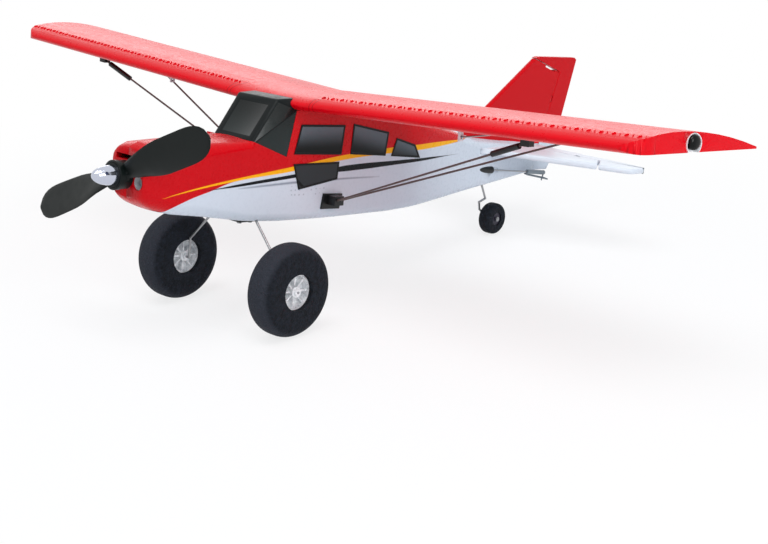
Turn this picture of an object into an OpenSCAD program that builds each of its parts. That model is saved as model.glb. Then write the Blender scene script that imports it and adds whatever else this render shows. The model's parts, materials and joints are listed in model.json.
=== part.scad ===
// Park-flyer high-wing monoplane: strut-braced foam airframe on a tailwheel undercarriage.
// Every module is drawn in the thrust-line frame: propeller hub at the origin, +Y aft,
// +X to the aeroplane's left, +Z up. place() then stands the aeroplane on its three wheels.

/* [Wing] */
// Wingspan from tip to tip
span = 580; // [520:5:660]
// Wing chord from leading to trailing edge
chord = 99; // [88:1:112]
// Greatest thickness of the wing section
wing_t = 11.5; // [10:0.5:13]
// Thickness of the trailing edges
edge_t = 1.2; // [0.8:0.1:1.6]
// Upward slope of each wing panel, degrees
dihedral = 2.9; // [1:0.1:4.5]
// Nose-down setting of the wing against the thrust line, degrees
wing_pitch = 1.4; // [0:0.1:2.5]
// Distance from the hub back to the wing's leading edge
wing_y = 117.7; // [114:0.5:122]
// Height of the wing's underside above the thrust line
wing_z = 38.3; // [36:0.5:42]
// Half width of the wing's centre section
centre_w = 34; // [30:1:40]
// How far the leading-edge corner of a tip is rounded
tip_r = 16; // [10:1:20]
// How much further out a tip reaches at its trailing edge
tip_rake = 12; // [6:1:16]
// Diameter of the carbon spar tube
spar_d = 4; // [3:0.5:5]
// Half length of the spar tube
spar_l = 105; // [80:1:108]
// Diameter of a tip lamp
lamp_d = 8.6; // [7:0.2:9]

/* [Ailerons] */
// Chord of an aileron behind its hinge
aileron_c = 23; // [18:1:27]
// Inboard end of an aileron, from the centreline
aileron_in = 128; // [115:1:150]
// Outboard end of an aileron, in from the wingtip
aileron_out = 30; // [26:1:45]
// Distance of the aileron linkage from the centreline
link_x = 136; // [134:1:150]

/* [Fuselage] */
// Width of the cabin
cabin_w = 47; // [44:1:54]
// Depth of the cabin below the thrust line
keel = 32; // [29:1:37]
// Foam wall thickness of the fuselage
wall = 5; // [4:0.5:6]
// Distance from the hub back to the tail post
tail_y = 399; // [380:1:430]
// Distance from the hub back to the nose face
nose_y = 10.5; // [10:0.5:13]
// Depth that window panes stand proud of the cabin side
pane_proud = 0.4; // [0.2:0.1:0.8]

/* [Tail] */
// Thickness of the tailplane, fin and rudder
tail_t = 4; // [3.5:0.1:5]
// Height of the elevator hinge above the thrust line
stab_z = 6; // [5:0.5:8]
// Half span of the tailplane
stab_w = 115; // [100:1:130]
// Chord of the elevator and the rudder behind their hinges
rudder_c = 15.6; // [13:0.2:18]
// Height of the fin tip above the thrust line
fin_z = 75; // [66:1:84]

/* [Propeller] */
// Propeller diameter
prop_d = 170; // [150:1:178]
// Widest chord of a blade
blade_c = 21; // [17:0.5:23]
// Angle at which the blades stand, degrees up from level
prop_rest = 23.6; // [0:0.1:45]
// Diameter of the motor shaft
shaft_d = 3; // [2:0.5:4]
// Diameter of the tommy-bar hole through the spinner nut
tommy_d = 2; // [1.5:0.1:2.5]

/* [Undercarriage] */
// Radius of a main wheel
wheel_r = 29.4; // [26:0.2:33]
// Width of a main tyre
tyre_w = 19.2; // [16:0.2:20]
// Radius of a main hub
hub_r = 11.5; // [9.5:0.1:13]
// Half of the wheel track
track = 53.7; // [50:0.1:60]
// Diameter of the undercarriage wire
wire_d = 1.6; // [1.4:0.1:2.2]
// Distance from the hub back to the main axle
axle_y = 97.4; // [94:0.1:99]
// Height of the main axle, below the thrust line
axle_drop = 66.6; // [62:0.1:76]
// Radius of the tail wheel
tail_wheel_r = 11.8; // [10:0.1:13]
// Width of the tail tyre
tail_tyre_w = 10; // [8:0.1:11]
// Distance from the hub back to the tail axle
tail_axle_y = 355.4; // [352:0.1:358]
// Height of the tail axle, below the thrust line
tail_axle_drop = 48.2; // [45:0.1:52]

/* [Struts and linkage] */
// Diameter of a strut rod
strut_d = 1.3; // [1:0.1:1.8]
// Diameter of the sleeve on a strut's upper end
sleeve_d = 3.6; // [3:0.1:4.2]
// Diameter of the pushrod wire
rod_d = 1; // [0.8:0.1:1.2]
// Travel of rudder, elevator and ailerons each way, degrees
throw = 20; // [10:1:20]

/* [Fits] */
// Radial running clearance of wheels, shafts and pivots
run_fit = 0.05; // [0.02:0.01:0.1]
// Gap around a moving control surface
hinge_gap = 0.7; // [0.5:0.1:1]
// Sliding clearance of a pin in its slot
slot_fit = 0.4; // [0.35:0.05:0.6]

/* [Hidden] */
$fn = 64;

// Colours
red = "#d0101e";
white = "#e8edf2";
black = "#1c1f22";
steel = "#a9adb2";
silver = "#d6dade";

// Stance: the thrust line tilts up so that all three wheels touch the ground.
axle_rise = tail_axle_drop - axle_drop;
axle_run = tail_axle_y - axle_y;
axle_gap = norm([axle_rise, axle_run]);
stance = asin((wheel_r - tail_wheel_r) / axle_gap) - atan2(axle_rise, axle_run);
hub_z = wheel_r + axle_y * sin(stance) + axle_drop * cos(stance);
spinner_l = 17;
hub_front = 2.4;
nose_tip = hub_front - spinner_l;

// Rudder and its slanted hinge line
post_lean = 16.8;
post_y = tail_y + 4.9;
fin_top_y = post_y + fin_z * tan(post_lean);
rudder_tip_y = fin_top_y + rudder_c;
rear_reach = rudder_tip_y * cos(stance) + fin_z * sin(stance);
front_reach = nose_tip * cos(stance);
mid_y = (front_reach + rear_reach) / 2;

// Sections of the fuselage: [y, half width, top, bottom, top corner, bottom corner]
half_w = cabin_w / 2;
te_y = wing_y + chord;
roof_z = wing_z + 8;
shield_y = wing_y - 29.2;
pillar_y = wing_y - 2.2;
cabin_end = te_y + 26;
waist_y = tail_y - 79;
waist_w = half_w * 0.54;
post_w = 4.8;
function aft_w(y) =
    y < waist_y
        ? half_w + (waist_w - half_w) * (y - cabin_end) / (waist_y - cabin_end)
        : waist_w + (post_w - waist_w) * (y - waist_y) / (tail_y - waist_y);
stations = [
    [nose_y, half_w - 8.6, 14.8, -12.6, 7, 7],
    [nose_y + 2, half_w - 7.4, 16.4, -15.4, 8, 8],
    [nose_y + 7, half_w - 6.0, 18.2, -19.0, 9, 9],
    [nose_y + 22, half_w - 4.8, 18.8, 8.5 - keel, 9, 9],
    [nose_y + 47, half_w - 3.0, 19.4, 6.0 - keel, 8, 8],
    [shield_y - 1, half_w - 1.3, 20.2, 2.0 - keel, 4.5, 6],
    [shield_y + 1, half_w - 1.2, roof_z, 1.9 - keel, 4, 6],
    [pillar_y - 4, half_w, roof_z, 0.6 - keel, 3, 5.5],
    [wing_y + 40, half_w, roof_z, 0 - keel, 3, 5.5],
    [te_y, half_w, roof_z, 0.8 - keel, 3, 5.5],
    [te_y + 2, half_w, wing_z + 1.4, 0.9 - keel, 6, 5.5],
    [cabin_end, half_w, wing_z - 5.4, 2.4 - keel, 7, 5.5],
    [cabin_end + 30, aft_w(cabin_end + 30), wing_z - 13.4, 5.2 - keel, 8, 5],
    [tail_y - 78, aft_w(tail_y - 78), stab_z + 7.5, 9.8 - keel, 6, 5],
    [tail_y - 50, aft_w(tail_y - 50), stab_z + 4.8, 12.8 - keel, 5, 4],
    [tail_y, post_w, stab_z + 2, 18.4 - keel, 3, 3]
];
first_y = stations[0][0];
last_y = stations[len(stations) - 1][0];
function column(k) = [for (s = stations) [s[0], s[k]]];
w_line = column(1);
top_line = column(2);
low_line = column(3);
rt_line = column(4);
rb_line = column(5);
// A table read through a short moving average, so that the lines run fair.
fair = 5;
function fair_at(y, line) =
    let (h = max(0, min(fair, y - first_y, last_y - y)))
    (lookup(y - h, line) + 2 * lookup(y - h / 2, line) + 2 * lookup(y, line)
        + 2 * lookup(y + h / 2, line) + lookup(y + h, line)) / 8;
crown = 1.2;
arc_steps = 5;
// Half outline at y, from the top of the seam round the left side to the keel, grown by g.
function half_outline(y, g) =
    let (
        w = fair_at(y, w_line) + g,
        t = lookup(y, top_line) + g,
        b = fair_at(y, low_line) - g,
        rt = max(1, fair_at(y, rt_line) + g),
        rb = max(1, fair_at(y, rb_line) + g)
    )
    concat(
        [[0, t + crown], [(w - rt) * 0.55, t + crown * 0.7]],
        [for (i = [0:arc_steps]) let (a = 90 - 90 * i / arc_steps)
            [w - rt + rt * cos(a), t - rt + rt * sin(a)]],
        [for (i = [0:arc_steps]) let (a = -90 * i / arc_steps)
            [w - rb + rb * cos(a), b + rb + rb * sin(a)]],
        [[0, b - 0.5]]
    );
function steps_between(a, b, step) =
    let (n = max(1, ceil((b - a) / step))) [for (i = [0:n]) a + (b - a) * i / n];
outer_y = concat(
    steps_between(nose_y, nose_y + 7, 1.4),
    steps_between(nose_y + 11, shield_y - 1, 8),
    steps_between(shield_y + 1, te_y, 13),
    steps_between(te_y + 2, tail_y, 8)
);
cavity_y = concat(
    steps_between(nose_y + 9, shield_y - 1, 15),
    steps_between(shield_y + 9, tail_y - 100, 15)
);

module place() {
    translate([0, -mid_y, hub_z])
        rotate([-stance, 0, 0])
            children();
}

// Skins a list of rings of equal length and closes both ends.
module skin(rings) {
    n = len(rings);
    m = len(rings[0]);
    points = [for (r = rings) each r];
    sides = [for (i = [0:n - 2]) for (j = [0:m - 1])
        let (a = i * m + j, b = i * m + (j + 1) % m)
        each [[a, b + m, b], [a, a + m, b + m]]];
    caps = [[for (j = [0:m - 1]) j], [for (j = [m - 1:-1:0]) (n - 1) * m + j]];
    polyhedron(points, concat(sides, caps), convexity = 6);
}

module half_body() {
    skin([for (y = outer_y) [for (p = half_outline(y, 0)) [p[0], y, p[1]]]]);
}

module cavity() {
    skin([for (y = cavity_y) let (h = half_outline(y, -wall)) concat(
        [for (p = h) [p[0], y, p[1]]],
        [for (i = [len(h) - 2:-1:1]) [-h[i][0], y, h[i][1]]]
    )]);
}

// Frame of a wing panel: x outboard, y aft from the leading edge, z up from the underside.
module wing_frame(side) {
    mirror([side < 0 ? 1 : 0, 0, 0])
        translate([0, wing_y, wing_z])
            rotate([wing_pitch, 0, 0])
                rotate([0, -dihedral, 0])
                    children();
}

function on_wing(x, y, z) =
    let (
        p = [x * cos(dihedral) - z * sin(dihedral), y, x * sin(dihedral) + z * cos(dihedral)]
    )
    [
        p[0],
        wing_y + p[1] * cos(wing_pitch) - p[2] * sin(wing_pitch),
        wing_z + p[1] * sin(wing_pitch) + p[2] * cos(wing_pitch)
    ];

// A straight round bar between two points.
module bar(a, b, d) {
    v = b - a;
    l = norm(v);
    translate(a)
        rotate([0, acos(v[2] / l), atan2(v[1], v[0])])
            cylinder(d = d, h = l);
}

// A wire bent through a list of points, a little swollen at its bends.
bend_swell = 1.15;
module bent_wire(points, d) {
    for (i = [0:len(points) - 2])
        bar(points[i], points[i + 1], d);
    for (i = [1:len(points) - 2])
        translate(points[i])
            sphere(d = d * bend_swell, $fn = 24);
}

module tube_along_x(x0, x1, d) {
    translate([x0, 0, 0])
        rotate([0, 90, 0])
            cylinder(d = d, h = x1 - x0);
}

// ---------------------------------------------------------------- wing section
crest = 0.36;
nose_h = 3.4;
function upper(u) =
    u < crest
        ? nose_h + (wing_t - nose_h) * sqrt(1 - pow(1 - u / crest, 2))
        : edge_t + (wing_t - edge_t) * (1 - pow((u - crest) / (1 - crest), 1.9));
function lower(u) = u < 0.07 ? nose_h * (1 - sqrt(1 - pow(1 - u / 0.07, 2))) : 0;
upper_u = [0, 0.006, 0.02, 0.045, 0.08, 0.13, 0.2, 0.28, 0.36, 0.46, 0.56, 0.66, 0.76, 0.88, 1];
lower_u = [0.07, 0.045, 0.022, 0.006];
section = concat(
    [for (u = upper_u) [u * chord, upper(u)]],
    [[chord, 0]],
    [for (u = lower_u) [u * chord, lower(u)]]
);

// A profile given as [y, z] points, run along x from x0 to x1.
module along_x(profile, x0, x1) {
    multmatrix([[0, 0, 1, x0], [1, 0, 0, 0], [0, 1, 0, 0], [0, 0, 0, 1]])
        linear_extrude(x1 - x0)
            polygon(profile);
}

half_span = span / 2;
spar_y = chord * 0.3;
spar_z = wing_t * 0.45;
panel_l = half_span / cos(dihedral);
hinge_y = chord - aileron_c;
nose_r = upper(hinge_y / chord) / 2;
aileron_end = panel_l - aileron_out;

module tip_plan() {
    inner = panel_l - tip_rake;
    linear_extrude(4 * wing_t, center = true)
        union() {
            translate([-5, tip_r])
                square([inner + 5, chord]);
            translate([-5, -1])
                square([inner - tip_r + 5, chord]);
            translate([inner - tip_r, tip_r])
                circle(tip_r);
            polygon([
                [inner - 1, tip_r], [inner, tip_r],
                [panel_l, chord], [panel_l, chord + 1], [inner - 1, chord + 1]
            ]);
        }
}

// Lamp on the tip's slanted end face
lamp_y = 0.45 * chord;
lamp_x = panel_l - tip_rake * (1 - (lamp_y - tip_r) / (chord - tip_r));
lamp_turn = atan(tip_rake / (chord - tip_r));
lamp_h = wing_t * 0.49;
lamp_deep = 3;
lamp_proud = 1.2;
lamp_shift = 1.1;

module lamp_frame() {
    translate([lamp_x, lamp_y, lamp_h])
        rotate([0, 90, -lamp_turn])
            children();
}

// Aileron servo lying in the panel, its shaft along x beside the linkage
micro = [20, 20, 8.2];
micro_y = 25;
arm_r = 10;
arm_z = 4;
link_drop = arm_r - arm_z;
link_front = micro_y + 6;
horn_r = nose_r + link_drop;

aileron_hinges = [aileron_in + 24, aileron_end - 18];

// Hinge of a control surface: a barrel on a tongue, with a pin that stands out at both ends.
barrel_d = 2.4;
barrel_l = 4;
pin_d = 1;
pin_l = 12;
tongue_t = 0.8;
module hinge_tongue(gap) {
    translate([-barrel_l / 2, -gap - 5, -tongue_t / 2])
        cube([barrel_l, 5, tongue_t]);
}

module hinge_pocket() {
    tube_along_x(-pin_l / 2 - 0.2, pin_l / 2 + 0.2, pin_d + 2 * run_fit);
    tube_along_x(-barrel_l / 2 - 0.3, barrel_l / 2 + 0.3, barrel_d + 1);
    translate([-barrel_l / 2 - 0.3, -8, -1.9])
        cube([barrel_l + 0.6, 8, 3.8]);
}

module hinge(gap) {
    tube_along_x(-pin_l / 2, pin_l / 2, pin_d);
    tube_along_x(-barrel_l / 2, barrel_l / 2, barrel_d);
    translate([-barrel_l / 2, -gap - 5, -tongue_t / 2])
        cube([barrel_l, gap + 5, tongue_t]);
}

module panel_cuts() {
    translate([aileron_in - hinge_gap, hinge_y - nose_r - hinge_gap, -1])
        cube([aileron_end - aileron_in + 2 * hinge_gap, chord, wing_t + 2]);
    translate([link_x - 3.4 - micro[0], micro_y, -1])
        cube([micro[0], micro[1], micro[2] + 1]);
    translate([link_x - 3.4, link_front - 8, -1])
        cube([6.8, 16, arm_z + 4]);
    translate([0, spar_y, spar_z])
        tube_along_x(centre_w - 1, spar_l, spar_d);
    lamp_frame()
        translate([lamp_shift, lamp_shift, -lamp_deep])
            cylinder(d = lamp_d + 3 * lamp_shift + 0.3, h = 4 * lamp_deep);
}

module wing_panel(side) {
    wing_frame(side)
        difference() {
            intersection() {
                along_x(section, centre_w, panel_l + 1);
                tip_plan();
            }
            panel_cuts();
            for (x = aileron_hinges)
                translate([x, hinge_y, nose_r])
                    hinge_tongue(nose_r + hinge_gap);
        }
}

module wing_left() {
    color(red)
        place()
            wing_panel(1);
}

module wing_right() {
    color(red)
        place()
            wing_panel(-1);
}

module wing_middle() {
    for (side = [-1, 1])
        intersection() {
            wing_frame(side)
                along_x(section, -4, centre_w);
            translate([side < 0 ? -centre_w * 2 : 0, wing_y - 20, wing_z - 10])
                cube([centre_w * 2, chord + 40, wing_t + 30]);
        }
}

module spar_bar(d) {
    for (side = [-1, 1])
        intersection() {
            wing_frame(side)
                translate([0, spar_y, spar_z])
                    tube_along_x(-4, spar_l, d);
            translate([side < 0 ? -span : 0, 0, 0])
                cube([span, 2 * wing_y, 4 * wing_z]);
        }
}

module wing_centre() {
    color(red)
        place()
            difference() {
                wing_middle();
                spar_bar(spar_d);
            }
}

module wing_spar() {
    color(black)
        place()
            spar_bar(spar_d);
}

module tip_lamps() {
    color(black)
        place()
            for (side = [-1, 1])
                wing_frame(side)
                    lamp_frame() {
                        translate([0, 0, -lamp_deep])
                            cylinder(d = lamp_d, h = lamp_deep + lamp_proud);
                        translate([0, 0, lamp_proud])
                            cylinder(d1 = lamp_d - 1.6, d2 = lamp_d - 4, h = 1);
                    }
}

// ---------------------------------------------------------------- ailerons
aileron_profile = concat(
    [for (i = [0:8]) let (a = 270 - 180 * i / 8)
        [hinge_y + nose_r * cos(a), nose_r + nose_r * sin(a)]],
    [for (k = [1:3]) let (u = (hinge_y + aileron_c * k / 4) / chord) [u * chord, upper(u)]],
    [[chord, edge_t], [chord, 0]]
);

module aileron(side) {
    wing_frame(side)
        difference() {
            along_x(aileron_profile, aileron_in, aileron_end);
            translate([link_x - 2.5, hinge_y - 2, -1])
                cube([5, 6, 2.2]);
            for (x = aileron_hinges)
                translate([x, hinge_y, nose_r])
                    hinge_pocket();
        }
}

// Slot cut through a lever from radius r0 to r1, its pin standing along z.
module lever_slot(r0, r1, h) {
    w = rod_d + 2 * slot_fit;
    for (r = [r0, r1])
        translate([r, 0, 0])
            cylinder(d = w, h = h);
    translate([r0, -w / 2, 0])
        cube([r1 - r0, w, h]);
}

module hanging_slot(r0, r1, h) {
    rotate([0, 90, 0])
        lever_slot(r0, r1, h);
}

module aileron_left() {
    color(red)
        place()
            aileron(1);
}

module aileron_right() {
    color(red)
        place()
            aileron(-1);
}

horn_t = 1.2;
slot_play = 0.25;

module aileron_horn(side) {
    wing_frame(side)
        translate([link_x, hinge_y, nose_r])
            difference() {
                union() {
                    translate([-2.5, -2, -nose_r])
                        cube([5, 6, 1.2]);
                    translate([-horn_t / 2, -2, -horn_r - 3])
                        cube([horn_t, 4, horn_r + 3 - nose_r]);
                }
                translate([-horn_t, 0, 0])
                    hanging_slot(horn_r - slot_play, horn_r / cos(throw) + slot_play, 2 * horn_t);
            }
}

module aileron_horn_left() {
    color(black)
        place()
            aileron_horn(1);
}

module aileron_horn_right() {
    color(black)
        place()
            aileron_horn(-1);
}

pull = horn_r * tan(throw);
arm_swing = atan(pull / arm_r);

module aileron_servo(side) {
    wing_frame(side) {
        translate([link_x - 3.4 - micro[0], micro_y, 0])
            cube([micro[0], micro[1], micro[2]]);
        translate([link_x - 3.4, link_front, arm_z])
            tube_along_x(-0.1, 1.4, 5);
    }
}

module aileron_servo_left() {
    color(black)
        place()
            aileron_servo(1);
}

module aileron_servo_right() {
    color(black)
        place()
            aileron_servo(-1);
}

module aileron_arm(side) {
    wing_frame(side)
        translate([link_x - 1.3, link_front, arm_z])
            difference() {
                union() {
                    tube_along_x(-0.6, 0.6, 5.4);
                    translate([-0.6, -1.8, -arm_r / cos(arm_swing) - 2.2])
                        cube([1.2, 3.6, arm_r / cos(arm_swing) + 2.2]);
                }
                translate([-1.2, 0, 0])
                    hanging_slot(arm_r - slot_play, arm_r / cos(arm_swing) + slot_play, 2.4);
            }
}

module aileron_arm_left() {
    color(white)
        place()
            aileron_arm(1);
}

module aileron_arm_right() {
    color(white)
        place()
            aileron_arm(-1);
}

// Pushrod under the wing: a pin through the servo arm, the rod, a pin through the horn.
module aileron_rod(side) {
    wing_frame(side)
        color(steel)
            bent_wire([
                [link_x - 3.0, link_front, -link_drop],
                [link_x + 1.8, link_front, -link_drop],
                [link_x + 1.8, hinge_y, -link_drop],
                [link_x - 2.0, hinge_y, -link_drop]
            ], rod_d);
}

module aileron_rod_left() {
    place()
        aileron_rod(1);
}

module aileron_rod_right() {
    place()
        aileron_rod(-1);
}

// ---------------------------------------------------------------- fuselage
seat_x = half_w + 1;
hatch_y = axle_y + 12.5;
hatch_l = 47;
hatch_w = 28;
hatch_gap = 0.5;
hatch_t = 3.2;
hatch_pin = 1.4;
hatch_z = -keel + hatch_t / 2;
wire_z = -keel + 2.6;
clamp_z = wire_z - wire_d / 2;
clamp_y = axle_y - 7;
clamp_w = 24;
clamp_l = 14;
clamp_t = 2;
tunnel_d = 4.4;
motor_d = 22;
bearing_y = tail_axle_y - 12.4;

// Pushrod lines, [pin at the surface, pin at the servo arm]
horn_x = 14;
rudder_hole = [horn_x, post_y - 3.9, -13];
rudder_dir = [-3.7, -67, 4.3] / norm([3.7, 67, 4.3]);
servo_r = 8;
servo_y = te_y - 31;
rudder_pick = rudder_hole + rudder_dir * (rudder_hole[1] - servo_y) / abs(rudder_dir[1]);
elev_y = tail_y - 18;
elev_arm = 15.5;
elev_horn_x = -11.5;
elev_hole = [elev_horn_x - 1.8, elev_y, stab_z - elev_arm];
elev_dir = [3, -60, 2] / norm([3, 60, 2]);
elev_pick = elev_hole + elev_dir * (elev_hole[1] - servo_y) / abs(elev_dir[1]);
guide_y = tail_y - 63;
servo = [9, 21, 17];
shelf_y = wing_y - 12;
shelf_l = 62;
shelf_z = -9.5;
seat_l = 34;
seat_z = elev_pick[2] - 4.2 - servo[2];
function on_line(p, dir, y) = p + dir * (p[1] - y) / abs(dir[1]);

module above_wing_seat() {
    for (side = [-1, 1])
        wing_frame(side)
            translate([-6, -3, 0])
                cube([half_w + 12, chord + 4, 40]);
}

// Space of the windshield: above its sill line and ahead of the door pillar.
sill_front = [shield_y, 20.4];
sill_rear = [pillar_y, 10.4];
pillar_top = [pillar_y + 5.6, wing_z + 0.6];
module shield_space() {
    along_x([
        sill_front, sill_rear, pillar_top, [pillar_top[0] + 0.6, roof_z + 8],
        [shield_y - 1.2, roof_z + 8], [shield_y - 1.2, sill_front[1] + 0.3]
    ], -seat_x, seat_x);
}

// Window outlines on the cabin side: [y, z] corners
function near_wing(p) = [p[0] + wing_y, p[1]];
panes = [for (pane = [
    [[8.2, 30.7], [47.7, 29.8], [46.3, 10.4], [3.8, 11.9]],
    [[55.4, 30.5], [90.1, 24.3], [88.6, 8.2], [54.8, 10.3]],
    [[98.5, 20.1], [117.8, 15], [124.1, 5.6], [94.3, 7.8]],
    [[4, 5.7], [45, 5.8], [44.4, -5.8], [9.9, -11]]
]) [for (p = pane) near_wing(p)]];
pane_sink = 0.6;

module pane_set(side, x0, x1) {
    mirror([side < 0 ? 1 : 0, 0, 0])
        for (pane = panes)
            along_x(pane, half_w + x0, half_w + x1);
}

mount_y = wing_y + 31;
mount_z = -25.2;
mount_l = 19;
mount_h = 10.6;

shaft_hole = 8;
inlet_d = 9;
module front_openings() {
    rotate([-90, 0, 0]) {
        cylinder(d = shaft_hole, h = nose_y + 20);
        for (s = [-1, 1])
            translate([s * 9.6, 3.6, 0])
                cylinder(d = inlet_d, h = nose_y + 20);
    }
    translate([-11.5, 0, 8.4])
        cube([23, nose_y + 20, 3.2]);
}

// Frame of the rudder hinge: z up along the slanted hinge line, y aft.
module rudder_frame() {
    translate([0, post_y, 0])
        rotate([-post_lean, 0, 0])
            children();
}

function from_hinge(p) = [
    post_y + p[0] * cos(post_lean) + p[1] * sin(post_lean),
    p[1] * cos(post_lean) - p[0] * sin(post_lean)
];
surface_gap = tail_t / 2 + hinge_gap;
stab_y = tail_y - 78;
joiner_d = 2;

module tail_cuts() {
    translate([-30, stab_y, stab_z - tail_t / 2])
        cube([60, elev_y - surface_gap - stab_y, tail_t]);
    rudder_frame()
        translate([-20, -surface_gap, -60])
            cube([40, 60, 120]);
    along_x(fin_outline, -tail_t / 2, tail_t / 2);
    upright_hinges()
        hinge_tongue(surface_gap);
    translate([0, elev_y, stab_z])
        tube_along_x(-20, 20, joiner_d + 2 * run_fit);
}

tunnel_run = 12;
module rod_tunnels() {
    bar(on_line(rudder_hole, rudder_dir, guide_y + tunnel_run), rudder_pick, tunnel_d);
    bar(on_line(elev_hole, elev_dir, guide_y + tunnel_run), elev_pick, tunnel_d);
}

// The guides stand in matching holes through the foam.
guide_l = 22;
guide_d = 5.4;
module guide_shape(hole, dir, d) {
    bar(on_line(hole, dir, guide_y - guide_l), on_line(hole, dir, guide_y + 3), d);
}

bearing_d = 5;
module screw_places() {
    for (x = [-1, 1])
        for (y = [-1, 1])
            translate([x * 8.8, axle_y + y * 4.4, clamp_z])
                children();
}

module belly_cuts() {
    translate([-hatch_w / 2, hatch_y - hatch_t / 2 - hatch_gap, -keel - 3])
        cube([hatch_w, hatch_l + hatch_t / 2 + 2 * hatch_gap, wall + 6]);
    translate([0, hatch_y, hatch_z])
        tube_along_x(-hatch_w / 2 - 3, hatch_w / 2 + 3, hatch_pin + 2 * run_fit);
    translate([-20.5, axle_y - wire_d / 2 - 0.1, -keel - 3])
        cube([41, wire_d + 0.2, wire_z + wire_d / 2 + keel + 3]);
    translate([-clamp_w / 2, clamp_y, -keel - 3])
        cube([clamp_w, clamp_l, clamp_z + keel + 3]);
    screw_places()
        cylinder(d = 1.6, h = 3);
    translate([0, bearing_y, -keel])
        cylinder(d = bearing_d, h = keel);
}

module shell_side(side) {
    difference() {
        mirror([side < 0 ? 1 : 0, 0, 0])
            half_body();
        cavity();
        above_wing_seat();
        shield_space();
        pane_set(side, -pane_sink, 5);
        front_openings();
        tail_cuts();
        rod_tunnels();
        guide_shape(rudder_hole, rudder_dir, guide_d);
        guide_shape(elev_hole, elev_dir, guide_d);
        belly_cuts();
    }
}

module fuselage_left() {
    color(red)
        place()
            shell_side(1);
}

module fuselage_right() {
    color(red)
        place()
            shell_side(-1);
}

module side_windows() {
    color(black)
        place()
            for (side = [-1, 1])
                pane_set(side, -pane_sink, pane_proud);
}

shield_r = 2.4;
shield_t = 1.2;
function shield_points(r) = [
    [half_w - 4.6 - r, shield_y + 0.2 + r * 1.3, sill_front[1] - 2],
    [half_w - 0.2 - r, pillar_y - r * 0.3, sill_rear[1] - 2],
    [half_w - 0.1 - r, pillar_top[0] + 1, wing_z + 1],
    [half_w - 4.2 - r, wing_y - 10.4 + r, wing_z + 7.8 - r],
    [half_w - 4.0 - r, wing_y + 4, wing_z + 8.6 - r]
];

module shield_block(r, inset) {
    hull()
        for (p = shield_points(r))
            for (s = [-1, 1])
                translate([s * (p[0] - inset), p[1] + inset * 1.3, p[2] - inset])
                    sphere(r, $fn = 16);
}

module windshield() {
    color(black)
        place()
            difference() {
                intersection() {
                    shield_block(shield_r, 0);
                    shield_space();
                }
                shield_block(shield_r, shield_t);
                wing_middle();
            }
}

module equipment_tray() {
    color(white)
        place()
            intersection() {
                cavity();
                union() {
                    translate([-30, shelf_y, shelf_z - 1.5])
                        cube([60, shelf_l, 1.5]);
                    translate([-30, shelf_y + shelf_l - 1.5, -keel])
                        cube([60, 1.5, shelf_z + keel]);
                    translate([-30, shelf_y + shelf_l - 1.5, -keel])
                        cube([60, seat_l, seat_z + keel]);
                }
            }
}

// ---------------------------------------------------------------- motor and propeller
bell_d = motor_d;
bell_y = nose_y + 16.5;
bell_l = 12;
mount_face = bell_y + bell_l + 4;
mount_t = 3;

module turned(y) {
    translate([0, y, 0])
        rotate([-90, 0, 0])
            children();
}

module motor_mount() {
    color("#b89468")
        place()
            difference() {
                intersection() {
                    cavity();
                    translate([-30, mount_face, -30])
                        cube([60, mount_t, 60]);
                }
                turned(mount_face - 1)
                    cylinder(d = shaft_d + 3, h = mount_t + 2);
            }
}

module motor_stator() {
    color(steel)
        place()
            difference() {
                union() {
                    turned(mount_face - 2)
                        cylinder(d = bell_d, h = 2);
                    turned(bell_y + 3)
                        cylinder(d = 6, h = mount_face - bell_y - 4);
                    turned(bell_y + 3)
                        cylinder(d = bell_d - 4, h = bell_l - 5);
                }
                turned(bell_y)
                    cylinder(d = shaft_d + 2 * run_fit, h = 30);
            }
}

shaft_front = hub_front - 7;
module motor_bell() {
    color(silver)
        place() {
            difference() {
                turned(bell_y)
                    cylinder(d = bell_d, h = bell_l);
                turned(bell_y + 1.6)
                    cylinder(d = bell_d - 2.4, h = bell_l);
            }
            turned(shaft_front)
                cylinder(d = shaft_d, h = mount_face + mount_t - shaft_front);
        }
}

hub_l = 6.2;
hub_d = 17;
blade_y = hub_front + 2.4;
blade_tip = prop_d / 2;
pitch = 95;
blade_steps = 18;
function blade_chord(s) =
    blade_c * (1 - 0.75 * pow(max(0, 1 - 2 * s), 1.6))
        * sqrt(1 - pow(max(0, (s - 0.72) / 0.28), 3));
function blade_angle(r) = min(34, atan(pitch / (2 * PI * r)));
function blade_at(i) =
    let (r = 5 + (blade_tip - 5.2) * (1 - pow(1 - i / blade_steps, 1.25)))
    let (s = r / blade_tip, c = blade_chord(s) / 2, t = 0.5 + 1.7 * pow(1 - s, 1.5))
    let (b = blade_angle(r))
    [for (k = [0:11]) let (p = -t * sin(k * 30), q = c * cos(k * 30))
        [r, p * cos(b) - q * sin(b), p * sin(b) + q * cos(b)]];

module propeller() {
    color(black)
        place()
            rotate([0, -prop_rest, 0])
                difference() {
                    union() {
                        turned(hub_front)
                            cylinder(d = hub_d, h = hub_l);
                        for (turn = [0, 180])
                            translate([0, blade_y, 0])
                                rotate([0, turn, 0])
                                    skin([for (i = [0:blade_steps]) blade_at(i)]);
                    }
                    turned(-1)
                        cylinder(d = shaft_d, h = 20);
                }
}

nut_r = 6;
nut_band = 3.4;
module spinner_nut() {
    color(silver)
        place()
            rotate([0, -prop_rest, 0])
                difference() {
                    turned(nose_tip)
                        rotate_extrude()
                            polygon(concat(
                                [[0, 0]],
                                [for (i = [1:10]) let (a = 9 * i)
                                    [nut_r * pow(sin(a), 0.9), (spinner_l - nut_band) * (1 - cos(a))]],
                                [[nut_r, spinner_l], [0, spinner_l]]
                            ));
                    turned(shaft_front)
                        cylinder(d = shaft_d, h = 20);
                    translate([0, nose_tip + 6.8, 0])
                        tube_along_x(-10, 10, tommy_d);
                }
}

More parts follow.
